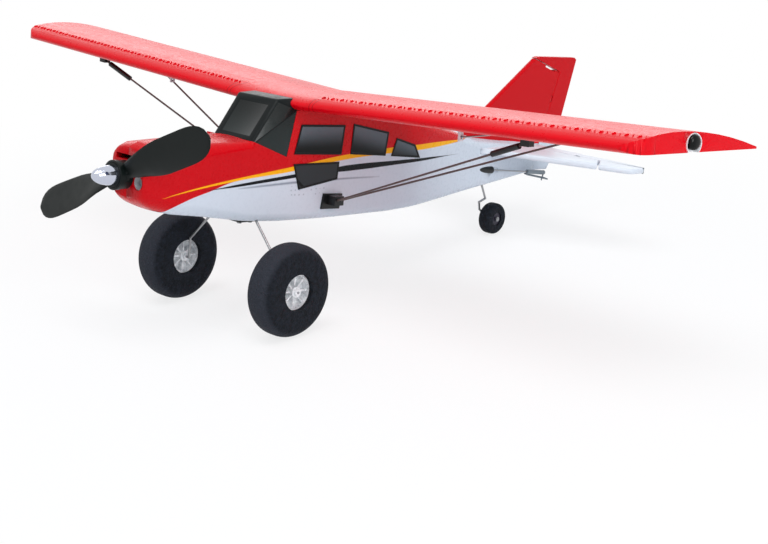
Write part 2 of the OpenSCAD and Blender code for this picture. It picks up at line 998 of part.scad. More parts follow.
// ---------------------------------------------------------------- fittings inside the cabin
module flight_board() {
    color("#2f6f4f")
        place()
            translate([-9, wing_y - 4, shelf_z])
                cube([18, 34, 8]);
}

battery_size = [24, 40, 13];
module battery() {
    color("#3b5fa8")
        place()
            translate([-12, wing_y - 5, shelf_z - 1.5 - battery_size[2]])
                cube(battery_size);
}

module battery_hatch() {
    color(red)
        place() {
            translate([-hatch_w / 2 + hatch_gap, hatch_y, hatch_z - hatch_t / 2])
                cube([hatch_w - 2 * hatch_gap, hatch_l, hatch_t]);
            translate([0, hatch_y, hatch_z]) {
                tube_along_x(-hatch_w / 2 + hatch_gap, hatch_w / 2 - hatch_gap, hatch_t);
                tube_along_x(-hatch_w / 2 - 2.5, hatch_w / 2 + 2.5, hatch_pin);
            }
        }
}

module hatch_latch() {
    color(black)
        place()
            translate([-5, hatch_y + hatch_l - 8, hatch_z - hatch_t / 2 - 1.6])
                cube([10, 6, 1.6]);
}

// A servo standing with its shaft upright at [x, servo_y], its lid at height top.
module servo_body(x, top) {
    translate([x - servo[0] / 2, servo_y - 6, seat_z])
        cube([servo[0], servo[1], top - seat_z]);
    translate([x, servo_y, top - 0.1])
        cylinder(d = 5, h = 0.8);
}

rudder_axis = [rudder_pick[0] + servo_r, servo_y, rudder_pick[2] - 4.2];
elev_axis = [elev_pick[0] - servo_r, servo_y, elev_pick[2] - 4.2];

module elevator_servo() {
    color(black)
        place()
            servo_body(elev_axis[0], elev_axis[2]);
}

module rudder_servo() {
    color(black)
        place()
            servo_body(rudder_axis[0], rudder_axis[2]);
}

module servo_lever(swing, spare) {
    reach = servo_r / cos(swing);
    difference() {
        union() {
            cylinder(d = 6, h = 1.2);
            translate([0, -2, 0])
                cube([reach + 2.4, 4, 1.2]);
        }
        translate([0, 0, -1])
            lever_slot(servo_r - slot_play - spare, reach + slot_play + spare, 4);
    }
}

rudder_arm_r = horn_x;
rudder_swing = atan(rudder_arm_r * tan(throw) / servo_r);
elev_swing = atan(elev_arm * tan(throw) / servo_r);

module rudder_arm() {
    color(white)
        place()
            translate(rudder_axis + [0, 0, 0.7])
                rotate([0, 0, 180])
                    servo_lever(rudder_swing, 0.2);
}

module elevator_arm() {
    color(white)
        place()
            translate(elev_axis + [0, 0, 0.7])
                servo_lever(elev_swing, 0.2);
}

// ---------------------------------------------------------------- undercarriage
leg_x = track - tyre_w / 2 - wire_d / 2 - 0.8;
axle_x = track + 9;
module gear_wire() {
    color(steel)
        place()
            translate([0, axle_y, 0])
                bent_wire([
                    [-axle_x, 0, -axle_drop], [-leg_x, 0, -axle_drop],
                    [-leg_x, 0, -axle_drop + 13], [-19, 0, wire_z],
                    [19, 0, wire_z], [leg_x, 0, -axle_drop + 13],
                    [leg_x, 0, -axle_drop], [axle_x, 0, -axle_drop]
                ], wire_d);
}

module gear_clamp() {
    color(black)
        place()
            difference() {
                translate([-clamp_w / 2, clamp_y, clamp_z - clamp_t])
                    cube([clamp_w, clamp_l, clamp_t]);
                screw_places()
                    translate([0, 0, -clamp_t - 1])
                        cylinder(d = 1.6, h = clamp_t + 2);
            }
}

module clamp_screws() {
    color(silver)
        place()
            screw_places() {
                translate([0, 0, -clamp_t])
                    cylinder(d = 1.6, h = clamp_t + 3);
                translate([0, 0, -clamp_t - 1])
                    cylinder(d = 3, h = 1);
            }
}

hub_half = 7;
module wheel_collars() {
    color(black)
        place()
            for (side = [-1, 1])
                for (end = [-1, 1])
                    translate([side * track + end * (hub_half + 0.8), axle_y, -axle_drop])
                        rotate([0, 90, 0])
                            difference() {
                                cylinder(d = 4.4, h = 1.4, center = true);
                                cylinder(d = wire_d, h = 3, center = true);
                            }
}

// Tyre and hub drawn about x, centred on their own middle. The tread has round shoulders.
module tyre(r, w, hub, wanted_shoulder) {
    shoulder = min(wanted_shoulder, 0.45 * (r - hub));
    rotate([0, 90, 0])
        rotate_extrude($fn = 96) {
            translate([hub, -w / 2])
                square([r - shoulder - hub, w]);
            translate([hub, shoulder - w / 2])
                square([r - hub, w - 2 * shoulder]);
            for (side = [-1, 1])
                translate([r - shoulder, side * (w / 2 - shoulder)])
                    circle(shoulder);
        }
}

spokes = 8;
module wheel_hub(r, half, bore) {
    rotate([0, 90, 0])
        difference() {
            union() {
                cylinder(r = r, h = 2, center = true);
                difference() {
                    cylinder(r = r, h = 2 * half - 1.6, center = true);
                    cylinder(r = r - 1.3, h = 2 * half, center = true);
                }
                cylinder(r = r * 0.3, h = 2 * half, center = true);
                for (i = [0:spokes - 1])
                    rotate([0, 0, i * 360 / spokes])
                        translate([r * 0.2, -0.5, -half + 2])
                            cube([r * 0.8 - 1, 1, 2 * half - 4]);
            }
            cylinder(d = bore, h = 3 * half, center = true);
        }
}

module main_wheel(side) {
    translate([side * track, axle_y, -axle_drop])
        children();
}

module tyre_left() {
    color(black)
        place()
            main_wheel(1)
                tyre(wheel_r, tyre_w, hub_r, 0.4 * tyre_w);
}

module tyre_right() {
    color(black)
        place()
            main_wheel(-1)
                tyre(wheel_r, tyre_w, hub_r, 0.4 * tyre_w);
}

module hub_left() {
    color(white)
        place()
            main_wheel(1)
                wheel_hub(hub_r, hub_half, wire_d + 2 * run_fit);
}

module hub_right() {
    color(white)
        place()
            main_wheel(-1)
                wheel_hub(hub_r, hub_half, wire_d + 2 * run_fit);
}

// ---------------------------------------------------------------- tail wheel
tail_x = 3.5;
tail_hub_r = 5;
tail_hub_half = 4.4;
module tail_bearing() {
    color(black)
        place()
            translate([0, bearing_y, 0])
                difference() {
                    translate([0, 0, 10.2 - keel])
                        cylinder(d = bearing_d, h = keel - 10.2);
                    translate([0, 0, -keel])
                        cylinder(d = wire_d + 2 * run_fit, h = keel + 1);
                }
}

fork_x = tail_x - tail_hub_half - 2;
module tail_wire() {
    color(steel)
        place() {
            bent_wire([
                [0, bearing_y, -1], [0, bearing_y, 9 - keel],
                [0, bearing_y + 5.8, -tail_axle_drop + 15],
                [-0.8, bearing_y - 0.2, -tail_axle_drop + 12.3],
                [fork_x, bearing_y + 3.8, -tail_axle_drop + 6.2],
                [fork_x, tail_axle_y, -tail_axle_drop],
                [tail_x + tail_hub_half + 1.4, tail_axle_y, -tail_axle_drop]
            ], wire_d);
            translate([0, tail_axle_y, -tail_axle_drop])
                tube_along_x(tail_x + tail_hub_half + 0.2, tail_x + tail_hub_half + 1.2, 3.4);
        }
}

module tail_wheel_place() {
    translate([tail_x, tail_axle_y, -tail_axle_drop])
        children();
}

module tail_tyre() {
    color(black)
        place()
            tail_wheel_place()
                tyre(tail_wheel_r, tail_tyre_w, tail_hub_r, 0.42 * tail_tyre_w);
}

module tail_hub() {
    color("#3a3640")
        place()
            tail_wheel_place()
                rotate([0, 90, 0])
                    difference() {
                        union() {
                            cylinder(r = tail_hub_r, h = 2 * tail_hub_half - 1, center = true);
                            cylinder(r = 2.6, h = 2 * tail_hub_half, $fn = 6, center = true);
                        }
                        cylinder(d = wire_d + 2 * run_fit, h = 20, center = true);
                    }
}

// ---------------------------------------------------------------- struts
foot = [half_w + 7.5, wing_y + 39.3, -18.5];
foot_gap = 1.6;
strut_in = 3;
strut_x = half_span * 0.673;
front_top = on_wing(strut_x, chord * 0.165, -strut_in);
rear_top = on_wing(strut_x + 2, chord * 0.6, -strut_in);
front_foot = foot - [0, foot_gap, 0];
rear_foot = foot + [0, foot_gap, 0];
lug = [6, 5, 4.6];
sleeve_from = 0.84;
sleeve_to = 0.965;

module strut_pair() {
    bar(front_foot, front_top, strut_d);
    bar(rear_foot, rear_top, strut_d);
}

module wing_lug(at) {
    translate([at[0] - lug[0] / 2, at[1] - lug[1] / 2, -lug[2]])
        cube(lug);
}

module bracket_side() {
    along_x([
        [mount_y, mount_z + 0.6], [mount_y + 1.4, mount_z + mount_h],
        [mount_y + mount_l - 0.5, mount_z + mount_h - 0.8],
        [mount_y + mount_l - 2.6, mount_z]
    ], half_w, half_w + 1.4);
    translate([half_w, foot[1] - 4, foot[2] - 3])
        cube([9, 8, 6]);
}

module strut_brackets() {
    color(black)
        place()
            for (side = [0, 1])
                mirror([side, 0, 0])
                    difference() {
                        union() {
                            bracket_side();
                            wing_frame(1) {
                                wing_lug([strut_x, chord * 0.165]);
                                wing_lug([strut_x + 2, chord * 0.6]);
                            }
                        }
                        strut_pair();
                    }
}

module sleeve() {
    a = front_foot + (front_top - front_foot) * sleeve_from;
    b = front_foot + (front_top - front_foot) * sleeve_to;
    difference() {
        bar(a, b, sleeve_d);
        bar(front_foot, front_top, strut_d);
    }
}

module strut_sleeves() {
    color(black)
        place()
            for (side = [0, 1])
                mirror([side, 0, 0])
                    sleeve();
}

module struts_left() {
    color("#8a7a68")
        place()
            strut_pair();
}

module struts_right() {
    color("#8a7a68")
        place()
            mirror([1, 0, 0])
                strut_pair();
}

// ---------------------------------------------------------------- tailplane
tip_x = stab_w;
cut_in = tip_x * 0.68;
cut_out = tip_x * 0.8;
sweep = 42.2 / (tip_x - 8);
function stab_front(x) = x < 8 ? stab_y : stab_y + 2 + sweep * (x - 8) * (1.06 - 0.06 * x / tip_x);
root_te = tail_y - 1.6;
tip_te = elev_y + 7.5;
root_x = 8;
stab_half = [
    [8, stab_y], [16, stab_front(16)],
    [cut_out, stab_front(cut_out)], [cut_in, elev_y - surface_gap]
];
balance_gap = 0.9;
elev_plan = [
    [root_x, elev_y], [root_x, root_te], [tip_x - 5, tip_te + 0.2], [tip_x - 1.6, tip_te - 3.4],
    [tip_x, elev_y + 1], [tip_x, stab_front(tip_x) + 5], [tip_x - 1.4, stab_front(tip_x) + 1.2],
    [tip_x - 5, stab_front(tip_x - 5) + 0.2], [cut_out + balance_gap, stab_front(cut_out) + 0.4],
    [cut_in + balance_gap, elev_y - surface_gap], [cut_in + balance_gap, elev_y]
];
elev_hinge_x = tip_x * 0.5;

module tail_hinge_places() {
    for (side = [-1, 1])
        translate([side * elev_hinge_x, elev_y, stab_z])
            children();
}

module stabiliser() {
    color(white)
        place()
            difference() {
                translate([0, 0, stab_z - tail_t / 2])
                    linear_extrude(tail_t)
                        polygon(concat(
                            stab_half,
                            [for (i = [len(stab_half) - 1:-1:0]) [-stab_half[i][0], stab_half[i][1]]]
                        ));
                tail_hinge_places()
                    hinge_tongue(surface_gap);
            }
}

module elevator_half() {
    difference() {
        union() {
            translate([0, 0, stab_z - tail_t / 2])
                linear_extrude(tail_t)
                    polygon(elev_plan);
            translate([0, elev_y, stab_z])
                tube_along_x(root_x, cut_in + balance_gap, tail_t);
        }
        translate([0, elev_y, stab_z])
            tube_along_x(0, root_x + 14, joiner_d);
        translate([elev_hinge_x, elev_y, stab_z])
            hinge_pocket();
    }
}

horn_front = 1.6;
horn_rear = 3;
module elev_horn() {
    translate([elev_horn_x - horn_t / 2, elev_y - horn_front, stab_z - elev_arm - 4])
        cube([horn_t, horn_front + horn_rear, elev_arm + 4]);
}

module elevator_left() {
    color(white)
        place()
            elevator_half();
}

module elevator_right() {
    color(white)
        place()
            difference() {
                mirror([1, 0, 0])
                    elevator_half();
                elev_horn();
            }
}

module elevator_joiner() {
    color(black)
        place()
            difference() {
                union() {
                    translate([0, elev_y, stab_z])
                        tube_along_x(-root_x - 14, root_x + 14, joiner_d);
                    elev_horn();
                }
                translate([elev_horn_x - 2, elev_y, stab_z])
                    hanging_slot(elev_arm - slot_play - 0.2,
                        elev_arm / cos(throw) + slot_play + 0.2, 4);
            }
}

pin_drop = [0, 0, -5.2];
module elevator_rod() {
    color(steel)
        place()
            bent_wire([
                elev_pick + pin_drop, elev_pick, elev_hole, elev_hole + [3.4, 0, 0]
            ], rod_d);
}

// ---------------------------------------------------------------- fin and rudder
cut_z = 66.4 * fin_z / 75;
fin_lean = 0.718;
fin_foot_y = tail_y - 93.5;
fin_foot_z = 14;
function fin_front(z) = fin_foot_y + (z - fin_foot_z) / fin_lean;
// Where the leading edge meets the line at height h of the hinge frame.
function on_front(h) =
    let (z = (h - (fin_foot_y - fin_foot_z / fin_lean - post_y) * sin(post_lean))
        / (cos(post_lean) + sin(post_lean) / fin_lean))
    [fin_front(z), z];
foot_z = -13.6;
notch_z = 1.6;
fin_outline = [
    [fin_foot_y, fin_foot_z], [tail_y - 77, stab_z + tail_t / 2],
    [tail_y - 4, stab_z + tail_t / 2],
    from_hinge([-surface_gap, 14]), from_hinge([-surface_gap, cut_z - hinge_gap]),
    from_hinge([-7.3, cut_z - hinge_gap]), from_hinge([-7.3, cut_z - hinge_gap - notch_z]),
    from_hinge([-20.6, cut_z - hinge_gap - notch_z]), from_hinge([-20.6, cut_z - hinge_gap]),
    on_front(cut_z - hinge_gap)
];
rudder_outline = [
    from_hinge([0, foot_z]), [post_y + 15, foot_z * cos(post_lean)],
    [post_y + 17.6, -9], [rudder_tip_y - 1.2, fin_z - 5], [rudder_tip_y - 0.4, fin_z - 1.6],
    [rudder_tip_y - 3, fin_z], [on_front(cut_z)[0] + 4, fin_z],
    on_front(cut_z), from_hinge([0, cut_z])
];
rudder_hinges = [8, 44];

module upright_hinges() {
    for (z = rudder_hinges)
        rudder_frame()
            translate([0, 0, z])
                rotate([0, 90, 0])
                    children();
}

module fin() {
    color(red)
        place()
            difference() {
                along_x(fin_outline, -tail_t / 2, tail_t / 2);
                upright_hinges()
                    hinge_tongue(surface_gap);
            }
}

module rudder() {
    color(red)
        place()
            difference() {
                union() {
                    along_x(rudder_outline, -tail_t / 2, tail_t / 2);
                    rudder_frame()
                        translate([0, 0, foot_z])
                            cylinder(d = tail_t, h = cut_z - foot_z);
                }
                upright_hinges()
                    hinge_pocket();
            }
}

plate_z = -17.3;
module rudder_horn() {
    color(black)
        place()
            rudder_frame()
                difference() {
                    union() {
                        translate([-2, -2.5, plate_z - 1])
                            cube([horn_x / cos(throw) + 5, 5, 1]);
                        translate([-1.2, -1.8, plate_z - 0.5])
                            cube([2.4, 3.6, foot_z - plate_z + 0.5]);
                    }
                    translate([0, 0, plate_z - 2])
                        lever_slot(horn_x - slot_play - 0.45,
                            horn_x / cos(throw) + slot_play + 0.45, 4);
                }
}

module rudder_rod() {
    color(steel)
        place() {
            bent_wire([
                rudder_pick + pin_drop, rudder_pick, rudder_hole,
                rudder_hole - [0, sin(post_lean), cos(post_lean)] * 6.4
            ], rod_d);
            bar(on_line(rudder_hole, rudder_dir, rudder_hole[1] - 20), rudder_hole, 3.4);
        }
}

module pushrod_guides() {
    color(black)
        place()
            difference() {
                union() {
                    guide_shape(rudder_hole, rudder_dir, guide_d);
                    guide_shape(elev_hole, elev_dir, guide_d);
                }
                bar(rudder_hole, rudder_pick, rod_d + 1);
                bar(elev_hole, elev_pick, rod_d + 1);
            }
}

module surface_hinges() {
    color(black)
        place() {
            for (side = [-1, 1])
                wing_frame(side)
                    for (x = aileron_hinges)
                        translate([x, hinge_y, nose_r])
                            hinge(nose_r + hinge_gap);
            tail_hinge_places()
                hinge(surface_gap);
            upright_hinges()
                hinge(surface_gap);
        }
}

fuselage_left();
fuselage_right();
windshield();
side_windows();
motor_mount();
motor_stator();
motor_bell();
propeller();
spinner_nut();
flight_board();
battery();
battery_hatch();
hatch_latch();
elevator_servo();
rudder_servo();
elevator_arm();
rudder_arm();
gear_wire();
gear_clamp();
clamp_screws();
wheel_collars();
tyre_left();
tyre_right();
hub_left();
hub_right();
wing_centre();
wing_left();
wing_right();
wing_spar();
equipment_tray();
tip_lamps();
aileron_servo_left();
aileron_servo_right();
aileron_left();
aileron_right();
aileron_horn_left();
aileron_horn_right();
aileron_arm_left();
aileron_arm_right();
aileron_rod_left();
aileron_rod_right();
strut_brackets();
strut_sleeves();
struts_left();
struts_right();
surface_hinges();
stabiliser();
fin();
elevator_left();
elevator_right();
elevator_joiner();
elevator_rod();
rudder();
rudder_horn();
rudder_rod();
pushrod_guides();
tail_bearing();
tail_wire();
tail_tyre();
tail_hub();
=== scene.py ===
"""A strut-braced high-wing foam aeroplane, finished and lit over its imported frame."""

import json
import math

import bmesh
import bpy
from mathutils import Matrix, Vector


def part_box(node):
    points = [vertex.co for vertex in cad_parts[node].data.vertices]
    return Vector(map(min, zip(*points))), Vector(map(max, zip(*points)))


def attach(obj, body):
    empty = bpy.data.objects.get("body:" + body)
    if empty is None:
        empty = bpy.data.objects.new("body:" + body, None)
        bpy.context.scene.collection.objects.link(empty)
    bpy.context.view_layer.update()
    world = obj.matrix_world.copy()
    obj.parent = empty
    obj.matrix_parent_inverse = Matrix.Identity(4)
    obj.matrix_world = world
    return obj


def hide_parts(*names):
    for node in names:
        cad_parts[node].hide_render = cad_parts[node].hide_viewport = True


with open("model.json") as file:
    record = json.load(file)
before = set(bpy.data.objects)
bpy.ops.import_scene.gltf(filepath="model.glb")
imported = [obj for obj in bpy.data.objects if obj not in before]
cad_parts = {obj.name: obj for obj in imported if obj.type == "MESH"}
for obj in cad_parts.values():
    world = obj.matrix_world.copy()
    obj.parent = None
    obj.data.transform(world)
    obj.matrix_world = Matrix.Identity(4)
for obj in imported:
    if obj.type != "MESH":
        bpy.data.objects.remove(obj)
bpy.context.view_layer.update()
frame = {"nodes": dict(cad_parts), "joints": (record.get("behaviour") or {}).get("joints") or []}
nodes = frame["nodes"]
joints = {j["name"]: j for j in frame["joints"]}
MM = 0.001
PER_METRE = 1000
SIDES = ((1, "left"), (-1, "right"))

# ------------------------------------------------------------------ the aeroplane's own axes
# Millimetres from the propeller hub: x to the left wingtip, y aft along the thrust line, z up.
HUB = Vector(joints["prop_spin"]["pos_m"])
AFT = Vector(joints["prop_spin"]["axis"])
UP = Vector(joints["tail_steer"]["axis"])
LEFT = Vector((1, 0, 0))
STANCE = math.atan2(-AFT.z, AFT.y)


def place(x, y, z):
    """The world position of a point of the aeroplane."""
    return HUB + (LEFT * x + AFT * y + UP * z) * MM


def local(p):
    """A world position, in the aeroplane's millimetres."""
    v = (Vector(p) - HUB) / MM
    return Vector((v.dot(LEFT), v.dot(AFT), v.dot(UP)))


# A wing panel's axes: along the span, along the chord, up from the underside.
SPAN_AXIS = Vector(joints["aileron_left_hinge"]["axis"])
CHORD_AXIS = Vector(joints["aileron_rod_left_slide"]["axis"])
WING_UP = SPAN_AXIS.cross(CHORD_AXIS)
CHORD = 99
WING_T = 11.5
LEADING_Z = 3.4
TRAILING_T = 1.2
CREST = 0.36  # where the wing is thickest, as a share of its chord
AFT_CURVE = 1.9
# Where the aileron's hinge joint stands on its panel.
HINGE_X = 136
HINGE_Y = 76
HINGE_Z = 3.56
WING_ROOT = (
    Vector(joints["aileron_left_hinge"]["pos_m"])
    - (SPAN_AXIS * HINGE_X + CHORD_AXIS * HINGE_Y + WING_UP * HINGE_Z) * MM
)


def wing_matrix(side):
    """A wing panel's millimetres to world metres, mirrored for the right side."""
    axes = [Vector((a.x * side, a.y, a.z)) for a in (SPAN_AXIS, CHORD_AXIS, WING_UP)]
    root = Vector((WING_ROOT.x * side, WING_ROOT.y, WING_ROOT.z))
    return Matrix.Translation(root) @ (Matrix(axes).transposed() * MM).to_4x4()


def skin_height(y):
    """Height of the wing's upper skin at chordwise place y, in millimetres."""
    u = min(1, max(0, y / CHORD))
    if u < CREST:
        return LEADING_Z + (WING_T - LEADING_Z) * math.sqrt(1 - (1 - u / CREST) ** 2)
    fall = ((u - CREST) / (1 - CREST)) ** AFT_CURVE
    return TRAILING_T + (WING_T - TRAILING_T) * (1 - fall)


# ------------------------------------------------------------------ colours and materials
def srgb(code):
    """A hex colour as linear red, green, blue and alpha."""
    parts = [int(code[i : i + 2], 16) / 255 for i in (1, 3, 5)]
    return (
        *[c / 12.92 if c <= 0.04045 else ((c + 0.055) / 1.055) ** 2.4 for c in parts],
        1,
    )


def add(tree, kind, inputs=None, **settings):
    """Adds a shader node: inputs are values or other nodes' outputs, by socket."""
    made = tree.nodes.new("ShaderNode" + kind)
    for key, value in settings.items():
        setattr(made, key, value)
    for key, value in (inputs or {}).items():
        if isinstance(value, bpy.types.NodeSocket):
            tree.links.new(value, made.inputs[key])
        else:
            made.inputs[key].default_value = value
    return made


def ramp(tree, value, start, end, low=0.0, high=1.0, **settings):
    """Carries a value's range, start to end, over to low to high."""
    spread = add(tree, "MapRange", {0: value, 1: start, 2: end, 3: low, 4: high}, **settings)
    return spread.outputs[0]


def finish(name, colour, **sockets):
    """A material with its plain values on the shader's own sockets."""
    mat = bpy.data.materials.new(name)
    mat.use_nodes = True
    tree = mat.node_tree
    shader = tree.nodes["Principled BSDF"]
    shader.inputs["Base Color"].default_value = srgb(colour)
    for key, value in sockets.items():
        shader.inputs[key.replace("_", " ")].default_value = value
    return mat, tree, shader


def in_millimetres(tree):
    """Object coordinates turned to the aeroplane's axes, in millimetres."""
    turn = Matrix.Rotation(STANCE, 3, "X")
    spot = add(tree, "TexCoord").outputs["Object"]
    return add(
        tree,
        "Mapping",
        {
            "Vector": spot,
            "Location": turn @ HUB * -PER_METRE,
            "Rotation": (STANCE, 0, 0),
            "Scale": (PER_METRE,) * 3,
        },
        vector_type="POINT",
    ).outputs[0]


def grain(tree, shader, place_mm, size, depth, rough=None):
    """Fine relief of a given size in millimetres, and a little unevenness of gloss."""
    noise = add(tree, "TexNoise", {"Vector": place_mm, "Scale": 1 / size, "Detail": 2.0})
    bump = add(
        tree,
        "Bump",
        {"Height": noise.outputs["Fac"], "Strength": 1.0, "Distance": depth * MM},
    )
    tree.links.new(bump.outputs[0], shader.inputs["Normal"])
    if rough:
        gloss = ramp(tree, noise.outputs["Fac"], 0.3, 0.7, *rough)
        tree.links.new(gloss, shader.inputs["Roughness"])


def grained(name, colour, size, depth, rough=None, **sockets):
    """A finish of one colour under fine relief."""
    mat, tree, shader = finish(name, colour, **sockets)
    grain(tree, shader, in_millimetres(tree), size, depth, rough)
    return mat


def blend(tree, amount, under, over):
    """Mixes two colours."""
    mix = add(tree, "Mix", {0: amount}, data_type="RGBA")
    for socket, value in ((6, under), (7, over)):
        if isinstance(value, str):
            mix.inputs[socket].default_value = srgb(value)
        else:
            tree.links.new(value, mix.inputs[socket])
    return mix.outputs[2]


def maths(tree, operation, a, b=0.0, c=None):
    """One step of arithmetic on values or sockets."""
    inputs = {0: a, 1: b}
    if c is not None:
        inputs[2] = c
    return add(tree, "Math", inputs, operation=operation).outputs[0]


def band(tree, value, low, high, soft=0.25):
    """One where low < value < high, with edges as soft as a masked spray line."""
    rise = ramp(tree, maths(tree, "SUBTRACT", value, low), -soft, soft)
    fall = ramp(tree, maths(tree, "SUBTRACT", value, high), -soft, soft, 1.0, 0.0)
    return maths(tree, "MULTIPLY", rise, fall)


def curve_of(tree, y, points, low=-40.0, high=40.0):
    """A smooth line z(y) through points, as a curve node."""
    first, last = points[0][0], points[-1][0]
    node = add(tree, "FloatCurve", {1: ramp(tree, y, float(first), float(last))})
    curve = node.mapping.curves[0]
    spots = [((p[0] - first) / (last - first), (p[1] - low) / (high - low)) for p in points]
    curve.points[0].location = spots[0]
    curve.points[1].location = spots[-1]
    for spot in spots[1:-1]:
        curve.points.new(*spot)
    node.mapping.update()
    return ramp(tree, node.outputs[0], 0.0, 1.0, low, high)


RED = "#dc0014"
# The same red spray in painted shade: deeper, for flat sides that get less light.
RED_IN_PAINTED_SHADE = "#c9000f"
WHITE = "#ced7e1"
TAIL_WHITE = "#dbe2ea"
YELLOW = "#fbb30c"
BEADS = 2.6

# The moulded joint lines over the wing's root, as x at each y.
WING_JOINTS = (
    [(118, 37), (135, 33.5), (160, 30), (216, 28)],
    [(118, 74), (135, 70), (160, 65), (216, 60)],
)
JOINT_HALF_WIDTH = 0.3


def wing_foam():
    """Moulded EPO foam, sprayed red: a satin skin over the faint marks of its beads."""
    mat, tree, shader = finish(
        "sprayed_red_epo_foam", RED, Roughness=0.3, Specular_IOR_Level=0.14
    )
    spot = in_millimetres(tree)
    parts = add(tree, "SeparateXYZ", {0: spot})
    across = maths(tree, "ABSOLUTE", parts.outputs[0])
    seam = 0.0
    for line in WING_JOINTS:
        centre = curve_of(tree, parts.outputs[1], line)
        inner = maths(tree, "SUBTRACT", centre, JOINT_HALF_WIDTH)
        outer = maths(tree, "ADD", centre, JOINT_HALF_WIDTH)
        seam = maths(tree, "MAXIMUM", seam, band(tree, across, inner, outer, 0.2))
    paint = blend(tree, maths(tree, "MULTIPLY", seam, 0.6), RED, "#5c0008")
    tree.links.new(paint, shader.inputs["Base Color"])
    grain(tree, shader, spot, BEADS, 0.004, (0.26, 0.36))
    return mat


red_epo = wing_foam()

# The tail's red is the same spray, in painted shade: a deeper red stands for the dimmer light on
# its flat sides.
fin_epo = grained(
    "sprayed_deep_red_epo_foam", RED_IN_PAINTED_SHADE, BEADS, 0.004, (0.3, 0.4),
    Roughness=0.34, Specular_IOR_Level=0.12,
)

# The same foam in its white spray.
white_epo = grained(
    "sprayed_white_epo_foam", TAIL_WHITE, BEADS, 0.006, (0.36, 0.46),
    Roughness=0.4, Specular_IOR_Level=0.3,
)


def line_in(tree, y, z, centre, half_width, soft=0.15):
    """A painted line of changing width along z = centre(y)."""
    middle = curve_of(tree, y, centre)
    width = curve_of(tree, y, half_width, 0.0, 4.0)
    under = maths(tree, "SUBTRACT", middle, width)
    over = maths(tree, "ADD", middle, width)
    strip = band(tree, z, under, over, soft)
    return maths(tree, "MULTIPLY", strip, maths(tree, "GREATER_THAN", width, 0.03))


# Rows of small vent holes under the door, drawn as grey dots of painted shade: the patch they fill,
# their pitch and their size.
VENT_Y = (120.0, 152.0)
VENT_Z = (-15.5, -8.5)
VENTS_PER_MM = (0.0, 0.28, 0.34)
VENT_R = 0.2


def livery():
    """The fuselage's paint: red above, white below, with yellow, black and grey lines."""
    # The red above is the wing's red in painted shade, deeper for the dimmer light on the
    # fuselage's sides.
    mat, tree, shader = finish(
        "fuselage_livery_on_epo_foam", RED_IN_PAINTED_SHADE, Roughness=0.28, Specular_IOR_Level=0.14
    )
    spot = in_millimetres(tree)
    parts = add(tree, "SeparateXYZ", {0: spot})
    y, z = parts.outputs[1], parts.outputs[2]
    edge = curve_of(
        tree, y,
        [(8, -36), (24, -26), (31, -18.5), (44, -13), (59, -8.6), (68, -5.6), (76, -3.6),
         (124, 1.6), (169, 7.3), (209, 10.2), (240, 11.4), (303, 16.4), (322, 22), (420, 30)],
    )
    below = ramp(tree, maths(tree, "SUBTRACT", z, edge), -0.2, 0.2, 1.0, 0.0)
    colour = blend(tree, below, RED_IN_PAINTED_SHADE, WHITE)
    grey = line_in(
        tree, y, z,
        [(78, -8.4), (104, -7), (124, -6.2), (166, -5.7), (203, -5.8), (420, -6)],
        [(78, 0.0), (92, 0.45), (124, 0.7), (166, 0.5), (190, 0.3), (206, 0.0), (420, 0.0)], 0.5,
    )
    black = line_in(
        tree, y, z,
        [(50, -9), (63, -7.8), (124, -2), (166, 0.9), (207, 2.7), (250, 4.4), (290, 5.6), (420, 8)],
        [(50, 0), (62, 0.25), (84, 0.9), (124, 1.2), (160, 1.6), (175, 2.0), (215, 1.5), (255, 0.8),
         (288, 0.05), (420, 0)],
    )
    yellow = line_in(
        tree, y, z,
        [(25, -12), (30, -10.7), (71, -3.5), (124, 2.9), (169, 8.6), (209, 11.5), (240, 12.9),
         (303, 16.4), (420, 30)],
        [(22, 0), (45, 0.45), (90, 0.9), (125, 1.5), (170, 1.6), (240, 1.9), (275, 1.3), (306, 0.0),
         (420, 0.0)],
    )
    for amount, paint in ((grey, "#8a93a0"), (black, "#0c0f14"), (yellow, YELLOW)):
        colour = blend(tree, amount, colour, paint)
    rows = add(tree, "VectorMath", {0: spot, 1: VENTS_PER_MM}, operation="MULTIPLY").outputs[0]
    holes = add(tree, "TexVoronoi", {"Vector": rows, "Scale": 1.0, "Randomness": 0.25})
    hole_shade = maths(tree, "LESS_THAN", holes.outputs["Distance"], VENT_R)
    patch = maths(tree, "MULTIPLY", band(tree, y, *VENT_Y, 1.0), band(tree, z, *VENT_Z, 0.5))
    vent_shade = maths(tree, "MULTIPLY", maths(tree, "MULTIPLY", hole_shade, patch), 0.5)
    # The vent holes are grey dots of painted shade, laid half over the paint.
    colour = blend(tree, vent_shade, colour, "#8d98a6")
    tree.links.new(colour, shader.inputs["Base Color"])
    grain(tree, shader, spot, BEADS, 0.004, (0.24, 0.34))
    return mat


fuselage_paint = livery()


RUDDER_FOOT_Z = (8.9, 9.3)
SCREEN_FADE_Z = (12.0, 44.0)
TAIL_FROM_Y = 300.0
TAILPLANE_TOP_Z = 7.5


def rudder_finish():
    """Red foam with a white foot."""
    # Its red is the wing's red in painted shade, deeper for the rudder's flat sides.
    mat, tree, shader = finish(
        "rudder_paint_on_epo_foam", RED_IN_PAINTED_SHADE, Roughness=0.34, Specular_IOR_Level=0.12
    )
    spot = in_millimetres(tree)
    z = add(tree, "SeparateXYZ", {0: spot}).outputs[2]
    foot = ramp(tree, z, *RUDDER_FOOT_Z, 1.0, 0.0)
    tree.links.new(blend(tree, foot, RED_IN_PAINTED_SHADE, WHITE), shader.inputs["Base Color"])
    grain(tree, shader, spot, BEADS, 0.004, (0.3, 0.4))
    return mat


rudder_paint = rudder_finish()


